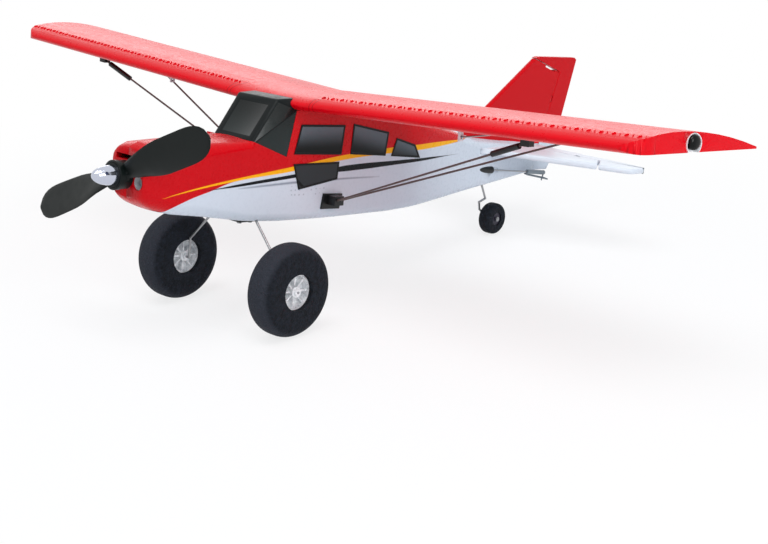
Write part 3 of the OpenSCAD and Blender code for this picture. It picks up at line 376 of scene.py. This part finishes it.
def hinge_finish():
    """Thin nylon hinges, sprayed over with the surface that they join."""
    mat, tree, shader = finish(
        "oversprayed_nylon_hinge", RED, Roughness=0.4, Specular_IOR_Level=0.3
    )
    spot = in_millimetres(tree)
    parts = add(tree, "SeparateXYZ", {0: spot})
    tail = maths(tree, "GREATER_THAN", parts.outputs[1], TAIL_FROM_Y)
    low = maths(tree, "LESS_THAN", parts.outputs[2], TAILPLANE_TOP_Z)
    paint = blend(tree, maths(tree, "MULTIPLY", tail, low), RED, WHITE)
    tree.links.new(paint, shader.inputs["Base Color"])
    grain(tree, shader, spot, 0.6, 0.01)
    return mat


hinge_paint = hinge_finish()

# Gloss black spray on the moulded windshield, with a faint green cast.
screen = grained(
    "gloss_black_windshield", "#0b1112", 3.0, 0.004, (0.32, 0.42),
    Roughness=0.36, Specular_IOR_Level=0.12,
)


def smoked_pane():
    """Smoked windshield panes, a little paler towards the foot."""
    mat, tree, shader = finish(
        "smoked_windshield_pane", "#1e2727", Roughness=0.18, Specular_IOR_Level=0.3
    )
    spot = in_millimetres(tree)
    z = add(tree, "SeparateXYZ", {0: spot}).outputs[2]
    high = ramp(tree, z, *SCREEN_FADE_Z, interpolation_type="SMOOTHSTEP")
    tree.links.new(blend(tree, high, "#1d2727", "#0a1010"), shader.inputs["Base Color"])
    grain(tree, shader, spot, 5.0, 0.006, (0.14, 0.22))
    return mat


smoked = smoked_pane()


# The film darkens over a drop from the panes' top edge, which falls behind the door.
PANE_TOP_Z = 29.5
PANE_DROP = 15.0
DOOR_AFT_Y = 166.0
TOP_FALLS_FROM_Y = 170.0
TOP_FALL = 0.2
LOWER_PANE_Z = (6.5, 7.0)
BAR_SLOPE = 0.78
BAR_SPAN = (92.0, 94.4)


def window_film():
    """Printed film on the side windows: slate at the top, fading to black at the sill."""
    mat, tree, shader = finish(
        "printed_window_film", "#3a4248", Roughness=0.3, Specular_IOR_Level=0.15
    )
    spot = in_millimetres(tree)
    parts = add(tree, "SeparateXYZ", {0: spot})
    y, z = parts.outputs[1], parts.outputs[2]
    aft = maths(tree, "MAXIMUM", maths(tree, "SUBTRACT", y, TOP_FALLS_FROM_Y), 0.0)
    top = maths(tree, "MULTIPLY_ADD", aft, -TOP_FALL, PANE_TOP_Z)
    drop = maths(tree, "DIVIDE", maths(tree, "SUBTRACT", top, z), PANE_DROP)
    fade = ramp(tree, drop, 0.0, 1.0, interpolation_type="SMOOTHSTEP")
    glass = blend(tree, fade, "#626d74", "#07090b")
    # the lower door pane is a flat dark grey with one darker diagonal bar
    lower = ramp(tree, z, *LOWER_PANE_Z, 1.0, 0.0)
    forward = maths(tree, "LESS_THAN", y, DOOR_AFT_Y)
    slant = maths(tree, "MULTIPLY_ADD", y, BAR_SLOPE, z)
    door = blend(tree, band(tree, slant, *BAR_SPAN, 0.2), "#2f3336", "#0c0d0f")
    film = blend(tree, maths(tree, "MULTIPLY", lower, forward), glass, door)
    tree.links.new(film, shader.inputs["Base Color"])
    grain(tree, shader, spot, 1.5, 0.003)
    return mat


window = window_film()

# Black surround printed round each pane.
surround = grained(
    "black_window_surround", "#07080a", 1.0, 0.004, (0.4, 0.5),
    Roughness=0.45, Specular_IOR_Level=0.2,
)

# Injection-moulded nylon fittings, a fine spark-eroded texture.
nylon = grained(
    "moulded_black_nylon", "#0c0e11", 0.5, 0.01, (0.36, 0.5),
    Roughness=0.42, Specular_IOR_Level=0.4,
)

# Propeller nylon: smoother, with a green-black cast and broad flow marks.
blade_nylon = grained(
    "satin_propeller_nylon", "#0b1211", 6.0, 0.015, (0.3, 0.42),
    Roughness=0.34, Specular_IOR_Level=0.16,
)

# Pale nylon of the servo arms.
pale_nylon = grained(
    "moulded_white_nylon", "#e6e8ea", 1.2, 0.015, (0.26, 0.38),
    Roughness=0.3, IOR=1.53,
)

# The hubs' spoked dishes are flashed with silver, cloudy where the mould gate was.
silver_nylon, tree, shader = finish("silvered_nylon_hub", "#e8ebed", Roughness=0.3, Metallic=0.1)
spot = in_millimetres(tree)
cloud = add(tree, "TexNoise", {"Vector": spot, "Scale": 0.22, "Detail": 3.0})
patch = ramp(tree, cloud.outputs["Fac"], 0.35, 0.62)
tree.links.new(blend(tree, patch, "#cdd1d4", "#fafbfc"), shader.inputs["Base Color"])
grain(tree, shader, spot, 1.2, 0.02, (0.22, 0.36))

# Purple-grey nylon of the tail wheel's hub.
grey_nylon = grained(
    "moulded_grey_nylon", "#2d2a38", 0.6, 0.01, (0.3, 0.42),
    Roughness=0.35, Specular_IOR_Level=0.4,
)

MAIN_AXLE = (0.0, 97.4, -66.6)
TREAD_R = (24.5, 28.0)
BEYOND_TYRE = 31.0
TREAD_PALING = 0.8


def tyre_foam():
    """EVA foam tyres: open cells drawn coarse enough to show, drawn paler on the tread."""
    mat, tree, shader = finish(
        "cellular_eva_foam_tyre", "#10141a", Roughness=0.8, Specular_IOR_Level=0.2
    )
    spot = in_millimetres(tree)
    from_axle = add(tree, "VectorMath", {0: spot, 1: MAIN_AXLE}, operation="SUBTRACT").outputs[0]
    in_plane = add(tree, "VectorMath", {0: from_axle, 1: (0.0, 1.0, 1.0)}, operation="MULTIPLY")
    out = add(tree, "VectorMath", {0: in_plane.outputs[0]}, operation="LENGTH").outputs["Value"]
    tread_paling = ramp(tree, out, *TREAD_R, interpolation_type="SMOOTHSTEP")
    tread_paling = maths(tree, "MULTIPLY", tread_paling, maths(tree, "LESS_THAN", out, BEYOND_TYRE))
    cells = add(tree, "TexVoronoi", {"Vector": spot, "Scale": 0.75})
    clumps = add(
        tree, "TexNoise", {"Vector": spot, "Scale": 0.35, "Detail": 5.0, "Roughness": 0.6}
    )
    relief = maths(
        tree, "MULTIPLY_ADD", clumps.outputs["Fac"], 1.8, cells.outputs["Distance"]
    )
    bump = add(tree, "Bump", {"Height": relief, "Strength": 1.0, "Distance": 0.5 * MM})
    tree.links.new(bump.outputs[0], shader.inputs["Normal"])
    sides = blend(tree, ramp(tree, clumps.outputs["Fac"], 0.35, 0.65), "#0a0e14", "#1b2029")
    # The tread is drawn paler than the sides.
    rubber = blend(tree, maths(tree, "MULTIPLY", tread_paling, TREAD_PALING), sides, "#30333b")
    tree.links.new(rubber, shader.inputs["Base Color"])
    return mat


tyre = tyre_foam()

# Spring-steel wire, drawn bright.
wire = grained(
    "drawn_spring_steel", "#9c9da0", 0.4, 0.006, (0.26, 0.4),
    Metallic=1.0, Roughness=0.32,
)

# Polished aluminium nut.
polished = grained(
    "polished_aluminium", "#c3c8d6", 1.4, 0.004, (0.08, 0.16),
    Metallic=1.0, Roughness=0.12,
)

# Turned motor alloy.
alloy = grained(
    "turned_motor_alloy", "#b9bcc1", 0.3, 0.008, (0.24, 0.38),
    Metallic=1.0, Roughness=0.3,
)

# Pultruded rods: brown-grey glass fibre for the struts, black carbon for the spar.
strut_rod = grained(
    "pultruded_glass_rod", "#5a4a48", 0.5, 0.01, (0.32, 0.46),
    Roughness=0.38, Specular_IOR_Level=0.4,
)
carbon = grained(
    "pultruded_carbon_tube", "#141517", 0.5, 0.01, (0.3, 0.42),
    Roughness=0.35, IOR=1.55,
)

# Grey nylon of the rudder's horn and link.
link_nylon = grained(
    "moulded_link_nylon", "#77838a", 0.6, 0.01, (0.36, 0.48),
    Roughness=0.42, Specular_IOR_Level=0.35,
)


LINK_FROM_Y = (379.6, 380.0)


def rod_finish():
    """The rudder rod: bright wire, with its moulded grey link body at the horn end."""
    mat, tree, shader = finish("steel_rod_with_nylon_link", "#9c9da0", Roughness=0.34)
    spot = in_millimetres(tree)
    y = add(tree, "SeparateXYZ", {0: spot}).outputs[1]
    link = ramp(tree, y, *LINK_FROM_Y)
    tree.links.new(blend(tree, link, "#9c9da0", "#7d8990"), shader.inputs["Base Color"])
    tree.links.new(maths(tree, "SUBTRACT", 1.0, link), shader.inputs["Metallic"])
    grain(tree, shader, spot, 0.6, 0.008, (0.3, 0.42))
    return mat


rudder_rod_finish = rod_finish()

# Parts inside the cabin.
laminate = grained(
    "green_circuit_laminate", "#1d5a3c", 0.8, 0.02, (0.3, 0.5),
    Roughness=0.4, IOR=1.5,
)
wrap = grained(
    "blue_shrink_wrap", "#27509a", 5.0, 0.08, (0.24, 0.4),
    Roughness=0.3, IOR=1.5,
)
ply, tree, shader = finish("birch_plywood", "#c9a878", Roughness=0.6, IOR=1.5)
spot = in_millimetres(tree)
rings = add(
    tree, "TexWave", {"Vector": spot, "Scale": 0.25, "Distortion": 3.0, "Detail": 2.0},
    bands_direction="X",
)
tree.links.new(blend(tree, rings.outputs["Fac"], "#b48f5e", "#d6b98c"), shader.inputs["Base Color"])
grain(tree, shader, spot, 1.0, 0.02)

# Tip lamp: a plated reflector that lines its pocket, and a smoked lens.
reflector = grained(
    "vacuum_plated_reflector", "#f4f6f8", 2.0, 0.01, (0.12, 0.22),
    Metallic=0.15, Roughness=0.25,
)
lens = grained(
    "smoked_lamp_lens", "#06090a", 3.0, 0.01, (0.05, 0.12),
    Roughness=0.06, Specular_IOR_Level=0.18,
)

# The propeller hub's front ring, buffed by the nut.
buffed = grained(
    "buffed_nylon_ring", "#5c6362", 0.5, 0.01, (0.24, 0.36),
    Roughness=0.3, Specular_IOR_Level=0.5,
)


def dress(mat, *names):
    """Gives CAD nodes a finish."""
    for name in names:
        mesh = nodes[name].data
        mesh.materials.clear()
        mesh.materials.append(mat)


dress(red_epo, "wing_centre", "wing_left", "wing_right", "aileron_left", "aileron_right")
dress(fin_epo, "fin")
dress(rudder_paint, "rudder")
dress(hinge_paint, "surface_hinges")
dress(white_epo, "stabiliser", "elevator_left", "elevator_right", "battery_hatch")
dress(fuselage_paint, "fuselage_left", "fuselage_right")
dress(screen, "windshield")
dress(window, "side_windows")
dress(
    nylon, "gear_clamp", "aileron_servo_left", "aileron_servo_right",
    "aileron_horn_left", "aileron_horn_right", "strut_brackets", "strut_sleeves",
    "elevator_joiner", "elevator_servo", "rudder_servo", "pushrod_guides", "tail_bearing",
    "hatch_latch",
)
dress(blade_nylon, "propeller")
dress(tyre, "tyre_left", "tyre_right", "tail_tyre")
dress(silver_nylon, "hub_left", "hub_right", "wheel_collars")
dress(pale_nylon, "aileron_arm_left", "aileron_arm_right", "elevator_arm", "rudder_arm")
dress(grey_nylon, "tail_hub")
dress(link_nylon, "rudder_horn")
dress(rudder_rod_finish, "rudder_rod")
dress(
    wire, "gear_wire", "tail_wire", "elevator_rod", "aileron_rod_left", "aileron_rod_right",
    "clamp_screws",
)
dress(polished, "spinner_nut")
dress(alloy, "motor_bell", "motor_stator")
dress(strut_rod, "struts_left", "struts_right")
dress(carbon, "wing_spar")
dress(lens, "tip_lamps")
dress(laminate, "flight_board")
dress(wrap, "battery")
dress(ply, "motor_mount", "equipment_tray")


# ------------------------------------------------------------------ modelling helpers
def nothing_selected():
    bpy.ops.object.select_all(action="DESELECT")


def only(piece):
    """Makes one object the selected and active one."""
    nothing_selected()
    piece.select_set(True)
    bpy.context.view_layer.objects.active = piece


def pick(test, kind="faces"):
    """In edit mode, selects the active mesh's faces, edges or vertices that pass a test."""
    bpy.ops.mesh.select_mode(type={"faces": "FACE", "edges": "EDGE", "verts": "VERT"}[kind])
    bpy.ops.mesh.select_all(action="DESELECT")
    shape = bmesh.from_edit_mesh(bpy.context.object.data)
    found = [e for e in getattr(shape, kind) if test(e)]
    for e in found:
        e.select = True
    shape.select_flush_mode()
    bmesh.update_edit_mesh(bpy.context.object.data)


def inset(width, depth=0, **settings):
    """Insets the selected faces, by millimetres of the world."""
    bpy.ops.mesh.inset(thickness=width * MM, depth=depth * MM, **settings)


def cylinder(name, sides, radius, length, at, turn=(0, 0, 0)):
    """A capped cylinder, with its place already in its mesh."""
    nothing_selected()
    bpy.ops.mesh.primitive_cylinder_add(
        vertices=sides, radius=radius, depth=length, location=at, rotation=turn
    )
    made = bpy.context.object
    made.name = name
    bpy.ops.object.transform_apply(location=True, rotation=True, scale=True)
    return made


def carry(mesh, matrix, side):
    """Moves a mesh, and keeps its faces outward on the mirrored side."""
    mesh.transform(matrix)
    if side < 0:
        mesh.flip_normals()


def hand_over(piece, body, slot, *replaced):
    """Settles a finished piece in place, on its body."""
    only(piece)
    bpy.ops.object.transform_apply(location=True, rotation=True, scale=True)
    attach(piece, body)
    if replaced:
        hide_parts(*replaced)


WELD = 0.02
FLAT_WITHIN = math.radians(1.5)


def merged_copy(name, source, angle=32):
    """A CAD node's shape as one welded, smooth-shaded mesh."""
    old = nodes[source]
    piece = bpy.data.objects.new(name, old.data.copy())
    bpy.context.scene.collection.objects.link(piece)
    only(piece)
    bpy.ops.object.mode_set(mode="EDIT")
    bpy.ops.mesh.select_all(action="SELECT")
    bpy.ops.mesh.remove_doubles(threshold=WELD * MM)
    bpy.ops.object.mode_set(mode="OBJECT")
    bpy.ops.object.shade_smooth_by_angle(angle=math.radians(angle))
    return piece


def smooth_copy(name, source, body, slot, mat, angle):
    """Stands a welded, smooth-shaded copy in for a CAD node."""
    piece = merged_copy(name, source, angle)
    bpy.ops.object.modifier_add(type="WEIGHTED_NORMAL")
    piece.modifiers[-1].keep_sharp = True
    bpy.ops.object.modifier_apply(modifier=piece.modifiers[-1].name)
    piece.data.materials.clear()
    piece.data.materials.append(mat)
    hand_over(piece, body, slot, source)


def flat_copy(name, source):
    """A CAD node's shape as one mesh of whole flat faces, left in edit mode."""
    piece = merged_copy(name, source)
    piece.data.materials.clear()
    bpy.ops.object.mode_set(mode="EDIT")
    bpy.ops.mesh.select_all(action="SELECT")
    bpy.ops.mesh.dissolve_limited(angle_limit=FLAT_WITHIN)
    return piece


def bend_of(edge):
    """The angle between an edge's two faces."""
    return edge.calc_face_angle(0.0) if len(edge.link_faces) == 2 else 0.0


# ------------------------------------------------------------------ fuselage and wing skins
SKINS = (
    ("fuselage_shell_left", "fuselage_left", "airframe", "red_foam", fuselage_paint, 34),
    ("fuselage_shell_right", "fuselage_right", "airframe", "red_foam", fuselage_paint, 34),
    ("wing_skin_left", "wing_left", "airframe", "red_foam", red_epo, 28),
    ("wing_skin_right", "wing_right", "airframe", "red_foam", red_epo, 28),
    ("wing_skin_centre", "wing_centre", "airframe", "red_foam", red_epo, 28),
    ("aileron_skin_left", "aileron_left", "aileron_left_group", "red_foam", red_epo, 30),
    ("aileron_skin_right", "aileron_right", "aileron_right_group", "red_foam", red_epo, 30),
    ("propeller_moulding", "propeller", "propeller_group", "prop_plastic", blade_nylon, 40),
)
for skin in SKINS:
    smooth_copy(*skin)

# ------------------------------------------------------------------ rounded tail surfaces
STAB_Z = 6
HALF_T = 2
ELEVATOR_Y = 381
RUDDER_Y = 340
EDGE_ROUND = 1.5
CORNER = math.radians(40)
ON_SKIN = HALF_T - 0.1
STAB_SLOT_CLEAR = 1
ELEVATOR_SLOT_CLEAR = 3.5
# Shorter edges than these belong to hinge slots and steps, and stay sharp.
STAB_EDGE = 10
ELEVATOR_EDGE = 3
FIN_EDGE = 50


def rounded_copy(name, source, body, slot, mat, chosen):
    """A tail surface with its moulded edges rounded over."""

    def moulded(edge):
        ends = [local(v.co) for v in edge.verts]
        return bend_of(edge) > CORNER and chosen(*ends)

    piece = flat_copy(name, source)
    pick(moulded, "edges")
    bpy.ops.mesh.bevel(offset=EDGE_ROUND * MM, segments=3, affect="EDGES", clamp_overlap=False)
    bpy.ops.object.mode_set(mode="OBJECT")
    bpy.ops.object.shade_smooth_by_angle(angle=math.radians(34))
    piece.data.materials.append(mat)
    hand_over(piece, body, slot, source)


def in_skin(a, b):
    """Whether a length from mid-thickness, at both ends of an edge, lies in one skin."""
    return min(abs(a), abs(b)) > ON_SKIN and a * b > 0


def stabiliser_edge(a, b):
    ahead = max(a.y, b.y) < ELEVATOR_Y - STAB_SLOT_CLEAR
    return in_skin(a.z - STAB_Z, b.z - STAB_Z) and (a - b).length > STAB_EDGE and ahead


def elevator_edge(a, b):
    clear = abs((a.y + b.y) / 2 - ELEVATOR_Y) > ELEVATOR_SLOT_CLEAR
    return in_skin(a.z - STAB_Z, b.z - STAB_Z) and (a - b).length > ELEVATOR_EDGE and clear


def fin_edge(a, b):
    return in_skin(a.x, b.x) and (a - b).length > FIN_EDGE and min(a.y, b.y) < RUDDER_Y


TAIL = (
    ("tailplane_moulding", "stabiliser", "airframe", "white_foam", white_epo, stabiliser_edge),
    (
        "elevator_moulding_left", "elevator_left", "elevator_group", "white_foam",
        white_epo, elevator_edge,
    ),
    (
        "elevator_moulding_right", "elevator_right", "elevator_group", "white_foam",
        white_epo, elevator_edge,
    ),
    ("fin_moulding", "fin", "airframe", "red_foam", fin_epo, fin_edge),
)
for surface in TAIL:
    rounded_copy(*surface)
smooth_copy("rudder_moulding", "rudder", "rudder_group", "red_foam", rudder_paint, 30)

# ------------------------------------------------------------------ glazing
FRAME_WIDTH = 3.2
PANE_BEVEL = 0.5
PANE_DEPTH = 0.3
FRONT_PANE_AREA = 2e-4
SIDE_PANE_AREA = 2e-5
windshield = flat_copy("windshield_moulding", "windshield")
windshield.data.materials.append(screen)
windshield.data.materials.append(smoked)
low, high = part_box("windshield")
middle = (low + high) / 2


def outer_pane(face, front):
    """Whether a face belongs to the front pane, or to the two side panes."""
    normal = Vector((face.normal.dot(LEFT), face.normal.dot(AFT), face.normal.dot(UP)))
    outward = face.normal.dot(face.calc_center_median() - middle) > 0
    if front:
        ahead = normal.y < -0.45 and abs(normal.x) < 0.3
        return outward and ahead and face.calc_area() > FRONT_PANE_AREA
    return outward and abs(normal.x) > 0.8 and face.calc_area() > SIDE_PANE_AREA


windshield.active_material_index = 1
pick(lambda f: outer_pane(f, True))
inset(FRAME_WIDTH, use_even_offset=True)
inset(PANE_BEVEL, -PANE_DEPTH, use_even_offset=True)
bpy.ops.object.material_slot_assign()
pick(lambda f: outer_pane(f, False))
bpy.ops.object.material_slot_assign()
bpy.ops.object.mode_set(mode="OBJECT")
bpy.ops.object.shade_smooth_by_angle(angle=math.radians(38))
hand_over(windshield, "airframe", "screen_black", "windshield")

SURROUND_WIDTH = 1.15
FILM_DEPTH = 0.2
panes = flat_copy("window_panes", "side_windows")
panes.data.materials.append(surround)
panes.data.materials.append(window)
pick(lambda f: abs(f.normal.x) > 0.95 and f.normal.x * f.calc_center_median().x > 0)
inset(SURROUND_WIDTH, use_individual=True)
inset(FILM_DEPTH, -FILM_DEPTH, use_individual=True)
panes.active_material_index = 1
bpy.ops.object.material_slot_assign()
bpy.ops.object.mode_set(mode="OBJECT")
hand_over(panes, "airframe", "window_dark", "side_windows")

# ------------------------------------------------------------------ airflow vanes along the wing
# Toed-in pairs of small fins in a row behind the leading edge, in the panel's millimetres.
VANE_SIZE = (0.5, 3.4, 0.9)
VANE_TAPER = (0.5, 0.55, 1)
VANE_TOP = (0, 0.6, 0.65)
VANE_EDGE = 0.12
VANE_PAIRS = 30
VANE_START_X = 42
VANE_Y = 10.0
VANE_PITCH = 8.0
VANE_OFF_CENTRE = 2
VANE_TOE = math.radians(24)
VANE_LIFT = 0.2
SLOPE_STEP = 2
nothing_selected()
bpy.ops.mesh.primitive_cube_add(size=1, location=(0, 0, 0))
vane = bpy.context.object
vane.scale = VANE_SIZE
bpy.ops.object.transform_apply(scale=True)
bpy.ops.object.mode_set(mode="EDIT")
pick(lambda f: f.normal.z > 0.9)
bpy.ops.transform.resize(value=VANE_TAPER, center_override=VANE_TOP)
bpy.ops.mesh.bevel(offset=VANE_EDGE, segments=1, affect="EDGES")
bpy.ops.object.mode_set(mode="OBJECT")

rise = skin_height(VANE_Y + SLOPE_STEP) - skin_height(VANE_Y - SLOPE_STEP)
slope = math.atan2(rise, 2 * SLOPE_STEP)
vane_z = skin_height(VANE_Y) + VANE_LIFT
for side, label in SIDES:
    row = []
    for k in range(VANE_PAIRS):
        for hand in (1, -1):
            copy = bpy.data.objects.new("airflow_vane", vane.data.copy())
            bpy.context.scene.collection.objects.link(copy)
            x = VANE_START_X + k * VANE_PITCH + hand * VANE_OFF_CENTRE
            stand = Matrix.Translation((x, VANE_Y, vane_z))
            turn = Matrix.Rotation(slope, 4, "X") @ Matrix.Rotation(VANE_TOE * hand, 4, "Z")
            carry(copy.data, wing_matrix(side) @ stand @ turn, side)
            row.append(copy)
    nothing_selected()
    for copy in row:
        copy.select_set(True)
    bpy.context.view_layer.objects.active = row[0]
    bpy.ops.object.join()
    vanes = bpy.context.object
    vanes.name = "airflow_vanes_" + label
    vanes.data.materials.append(red_epo)
    hand_over(vanes, "airframe", "red_foam")
bpy.data.objects.remove(vane)

# ------------------------------------------------------------------ propeller hub
HUB_R = 8.5
COLLAR_PROUD = 0.35
COLLAR_L = 3.2
COLLAR_BACK = 1.1
hub_front = min(local(v.co).y for v in nodes["propeller"].data.vertices)
facing = AFT.to_track_quat("Z", "Y").to_euler()
collar = cylinder(
    "propeller_hub_collar", 72, (HUB_R + COLLAR_PROUD) * MM, COLLAR_L * MM,
    place(0, hub_front + COLLAR_BACK, 0), facing,
)
collar.data.materials.append(blade_nylon)
collar.data.materials.append(buffed)
bpy.ops.object.mode_set(mode="EDIT")
pick(lambda f: f.normal.dot(AFT) < -0.9)
inset(0.5, 0.35)
inset(0.45)
collar.active_material_index = 1
bpy.ops.object.material_slot_assign()
inset(0.2, -0.55)
collar.active_material_index = 0
bpy.ops.object.material_slot_assign()
inset(0.35)
inset(0.15, 0.4)
bpy.ops.object.mode_set(mode="OBJECT")
bpy.ops.object.shade_smooth_by_angle(angle=math.radians(30))
hand_over(collar, "propeller_group", "prop_plastic")

# ------------------------------------------------------------------ cooling ducts in the cowl
COWL_FRONT = 10.5
DUCT_R = 4.45
DUCT_L = 5.4
DUCT_X = 9.6
DUCT_Z = -3.6
DUCT_BACK = 3.9
DUCT_LIP = 0.5
DUCT_FLARE = 0.6
DUCT_DEPTH = 3.4
duct_grey = grained(
    "moulded_grey_duct", "#b4babc", 1.0, 0.02, (0.44, 0.56),
    Roughness=0.5, Specular_IOR_Level=0.3,
)
for side, label in SIDES:
    duct = cylinder(
        "cooling_duct_" + label, 48, DUCT_R * MM, DUCT_L * MM,
        place(DUCT_X * side, COWL_FRONT + DUCT_BACK, DUCT_Z), facing,
    )
    duct.data.materials.append(duct_grey)
    bpy.ops.object.mode_set(mode="EDIT")
    pick(lambda f: f.normal.dot(AFT) < -0.9)
    inset(DUCT_LIP)
    inset(DUCT_FLARE, -DUCT_DEPTH)
    bpy.ops.object.mode_set(mode="OBJECT")
    bpy.ops.object.shade_smooth_by_angle(angle=math.radians(40))
    hand_over(duct, "airframe", "grey_plastic")

# ------------------------------------------------------------------ tip lamps
# Each lamp is modelled at the origin, in millimetres, then seated in the raked wing tip.
PANEL_L = 290.37
TIP_RAKE = 12
TIP_R = 16
LAMP_Y = 0.45 * CHORD
LAMP_Z = WING_T * 0.49
LAMP_TURN = math.atan(TIP_RAKE / (CHORD - TIP_R))
LAMP_X = PANEL_L - TIP_RAKE * (1 - (LAMP_Y - TIP_R) / (CHORD - TIP_R))
REFLECTOR_R = 6.0
REFLECTOR_L = 3.6
REFLECTOR_AT = (1.1, 1.1, -1.1)
REFLECTOR_DISH = ((0.35, 0), (0.5, -3.1))
REFLECTOR_CUT = (5.5, 0, 0)
LENS_R = 4.2
LENS_L = 1.0
LENS_AT = (0, 0, 1.5)
LENS_DOME = ((0.35, 0.5), (0.6, 0.45), (0.9, 0.35), (1.2, 0.15))


def sink_or_raise(steps):
    """Shapes the selected end of a lamp piece by rings: how far in, and how far up."""
    for rim, rise in steps:
        bpy.ops.mesh.inset(thickness=rim, depth=rise)


def seat_lamp(piece, seat, side, angle, mat, slot):
    """Closes a lamp piece's modelling and sets it in its wing tip."""
    bpy.ops.object.mode_set(mode="OBJECT")
    bpy.ops.object.shade_smooth_by_angle(angle=math.radians(angle))
    carry(piece.data, seat, side)
    piece.data.materials.append(mat)
    hand_over(piece, "airframe", slot)


for side, label in SIDES:
    outward = Matrix.Rotation(-LAMP_TURN, 4, "Z") @ Matrix.Rotation(math.radians(90), 4, "Y")
    seat = wing_matrix(side) @ Matrix.Translation((LAMP_X, LAMP_Y, LAMP_Z)) @ outward
    bowl = cylinder("lamp_reflector_" + label, 64, REFLECTOR_R, REFLECTOR_L, REFLECTOR_AT)
    bpy.ops.object.mode_set(mode="EDIT")
    pick(lambda f: f.normal.z > 0.9)
    sink_or_raise(REFLECTOR_DISH)
    bpy.ops.mesh.select_all(action="SELECT")
    bpy.ops.mesh.bisect(
        plane_co=REFLECTOR_CUT, plane_no=(1, 0, 0), clear_outer=True, use_fill=True
    )
    seat_lamp(bowl, seat, side, 40, reflector, "chrome")
    cap = cylinder("lamp_lens_" + label, 64, LENS_R, LENS_L, LENS_AT)
    bpy.ops.object.mode_set(mode="EDIT")
    pick(lambda f: f.normal.z > 0.9)
    sink_or_raise(LENS_DOME)
    seat_lamp(cap, seat, side, 50, lens, "black_plastic")

# ------------------------------------------------------------------ floor, light and camera
FLOOR_SIZE = 12
# The floor whitens with distance, in metres, from most of the way to all of it.
FADE_REACH = (0.1, 0.6)
FADE_SHARE = (0.76, 1.0)
EYE = (0.6807, -0.7043, 0.3188)
LOOK = (-0.6546, 0.6890, -0.3113)
nothing_selected()
bpy.ops.mesh.primitive_plane_add(size=FLOOR_SIZE, location=(0, 0, 0))
floor = bpy.context.object
floor.name = "studio_floor"
mat, tree, shader = finish(
    "pale_paper_sweep", "#f2f3f5", Roughness=0.9, Specular_IOR_Level=0.1
)
path = add(tree, "LightPath")
seen = maths(tree, "MAXIMUM", path.outputs["Is Camera Ray"], path.outputs["Is Glossy Ray"])
seen = maths(tree, "MAXIMUM", seen, path.outputs["Is Transmission Ray"])
spot = add(tree, "TexCoord").outputs["Object"]
reach = add(tree, "VectorMath", {0: spot}, operation="LENGTH").outputs["Value"]
away = ramp(tree, reach, *FADE_REACH, *FADE_SHARE, interpolation_type="SMOOTHSTEP")
paper = add(tree, "Emission", {"Color": (1, 1, 1, 1), "Strength": 1.0}).outputs[0]
whiteness = maths(tree, "MULTIPLY", seen, away)
mixed = add(tree, "MixShader", {0: whiteness, 1: shader.outputs[0], 2: paper}).outputs[0]
tree.links.new(mixed, tree.nodes["Material Output"].inputs["Surface"])
floor.data.materials.append(mat)

world = bpy.data.worlds.new("studio")
bpy.context.scene.world = world
world.use_nodes = True
tree = world.node_tree
sky = tree.nodes["Background"]
path = add(tree, "LightPath")
seen = maths(tree, "MAXIMUM", path.outputs["Is Camera Ray"], path.outputs["Is Transmission Ray"])
seen = maths(tree, "MAXIMUM", seen, path.outputs["Is Glossy Ray"])
tree.links.new(blend(tree, seen, "#b4b9c1", "#ffffff"), sky.inputs["Color"])
sky.inputs["Strength"].default_value = 1.0


def lamp(name, at, towards, size, power):
    """A softbox at a place, turned towards another, of a width and height in metres."""
    data = bpy.data.lights.new(name, "AREA")
    data.shape = "RECTANGLE"
    data.size, data.size_y = size
    data.energy = power
    made = bpy.data.objects.new(name, data)
    bpy.context.scene.collection.objects.link(made)
    made.location = at
    made.rotation_euler = (Vector(towards) - Vector(at)).to_track_quat("-Z", "Y").to_euler()


lamp("overhead_softbox", (0.25, -0.6, 1.9), (0, 0, 0.1), (1.6, 1.0), 21)
lamp("front_softbox", (1.6, -0.5, 0.75), (0, 0.05, 0.1), (0.8, 0.8), 10)
lamp("rear_strip", (-1.2, 1.3, 0.62), (0, 0, 0.15), (1.8, 0.3), 5)

eye = bpy.data.cameras.new("view")
eye.lens = 68.2
eye.sensor_width = 36
camera = bpy.data.objects.new("view", eye)
bpy.context.scene.collection.objects.link(camera)
camera.location = EYE
camera.rotation_euler = Vector(LOOK).to_track_quat("-Z", "Y").to_euler()
bpy.context.scene.camera = camera

bpy.context.scene.view_settings.view_transform = "Standard"
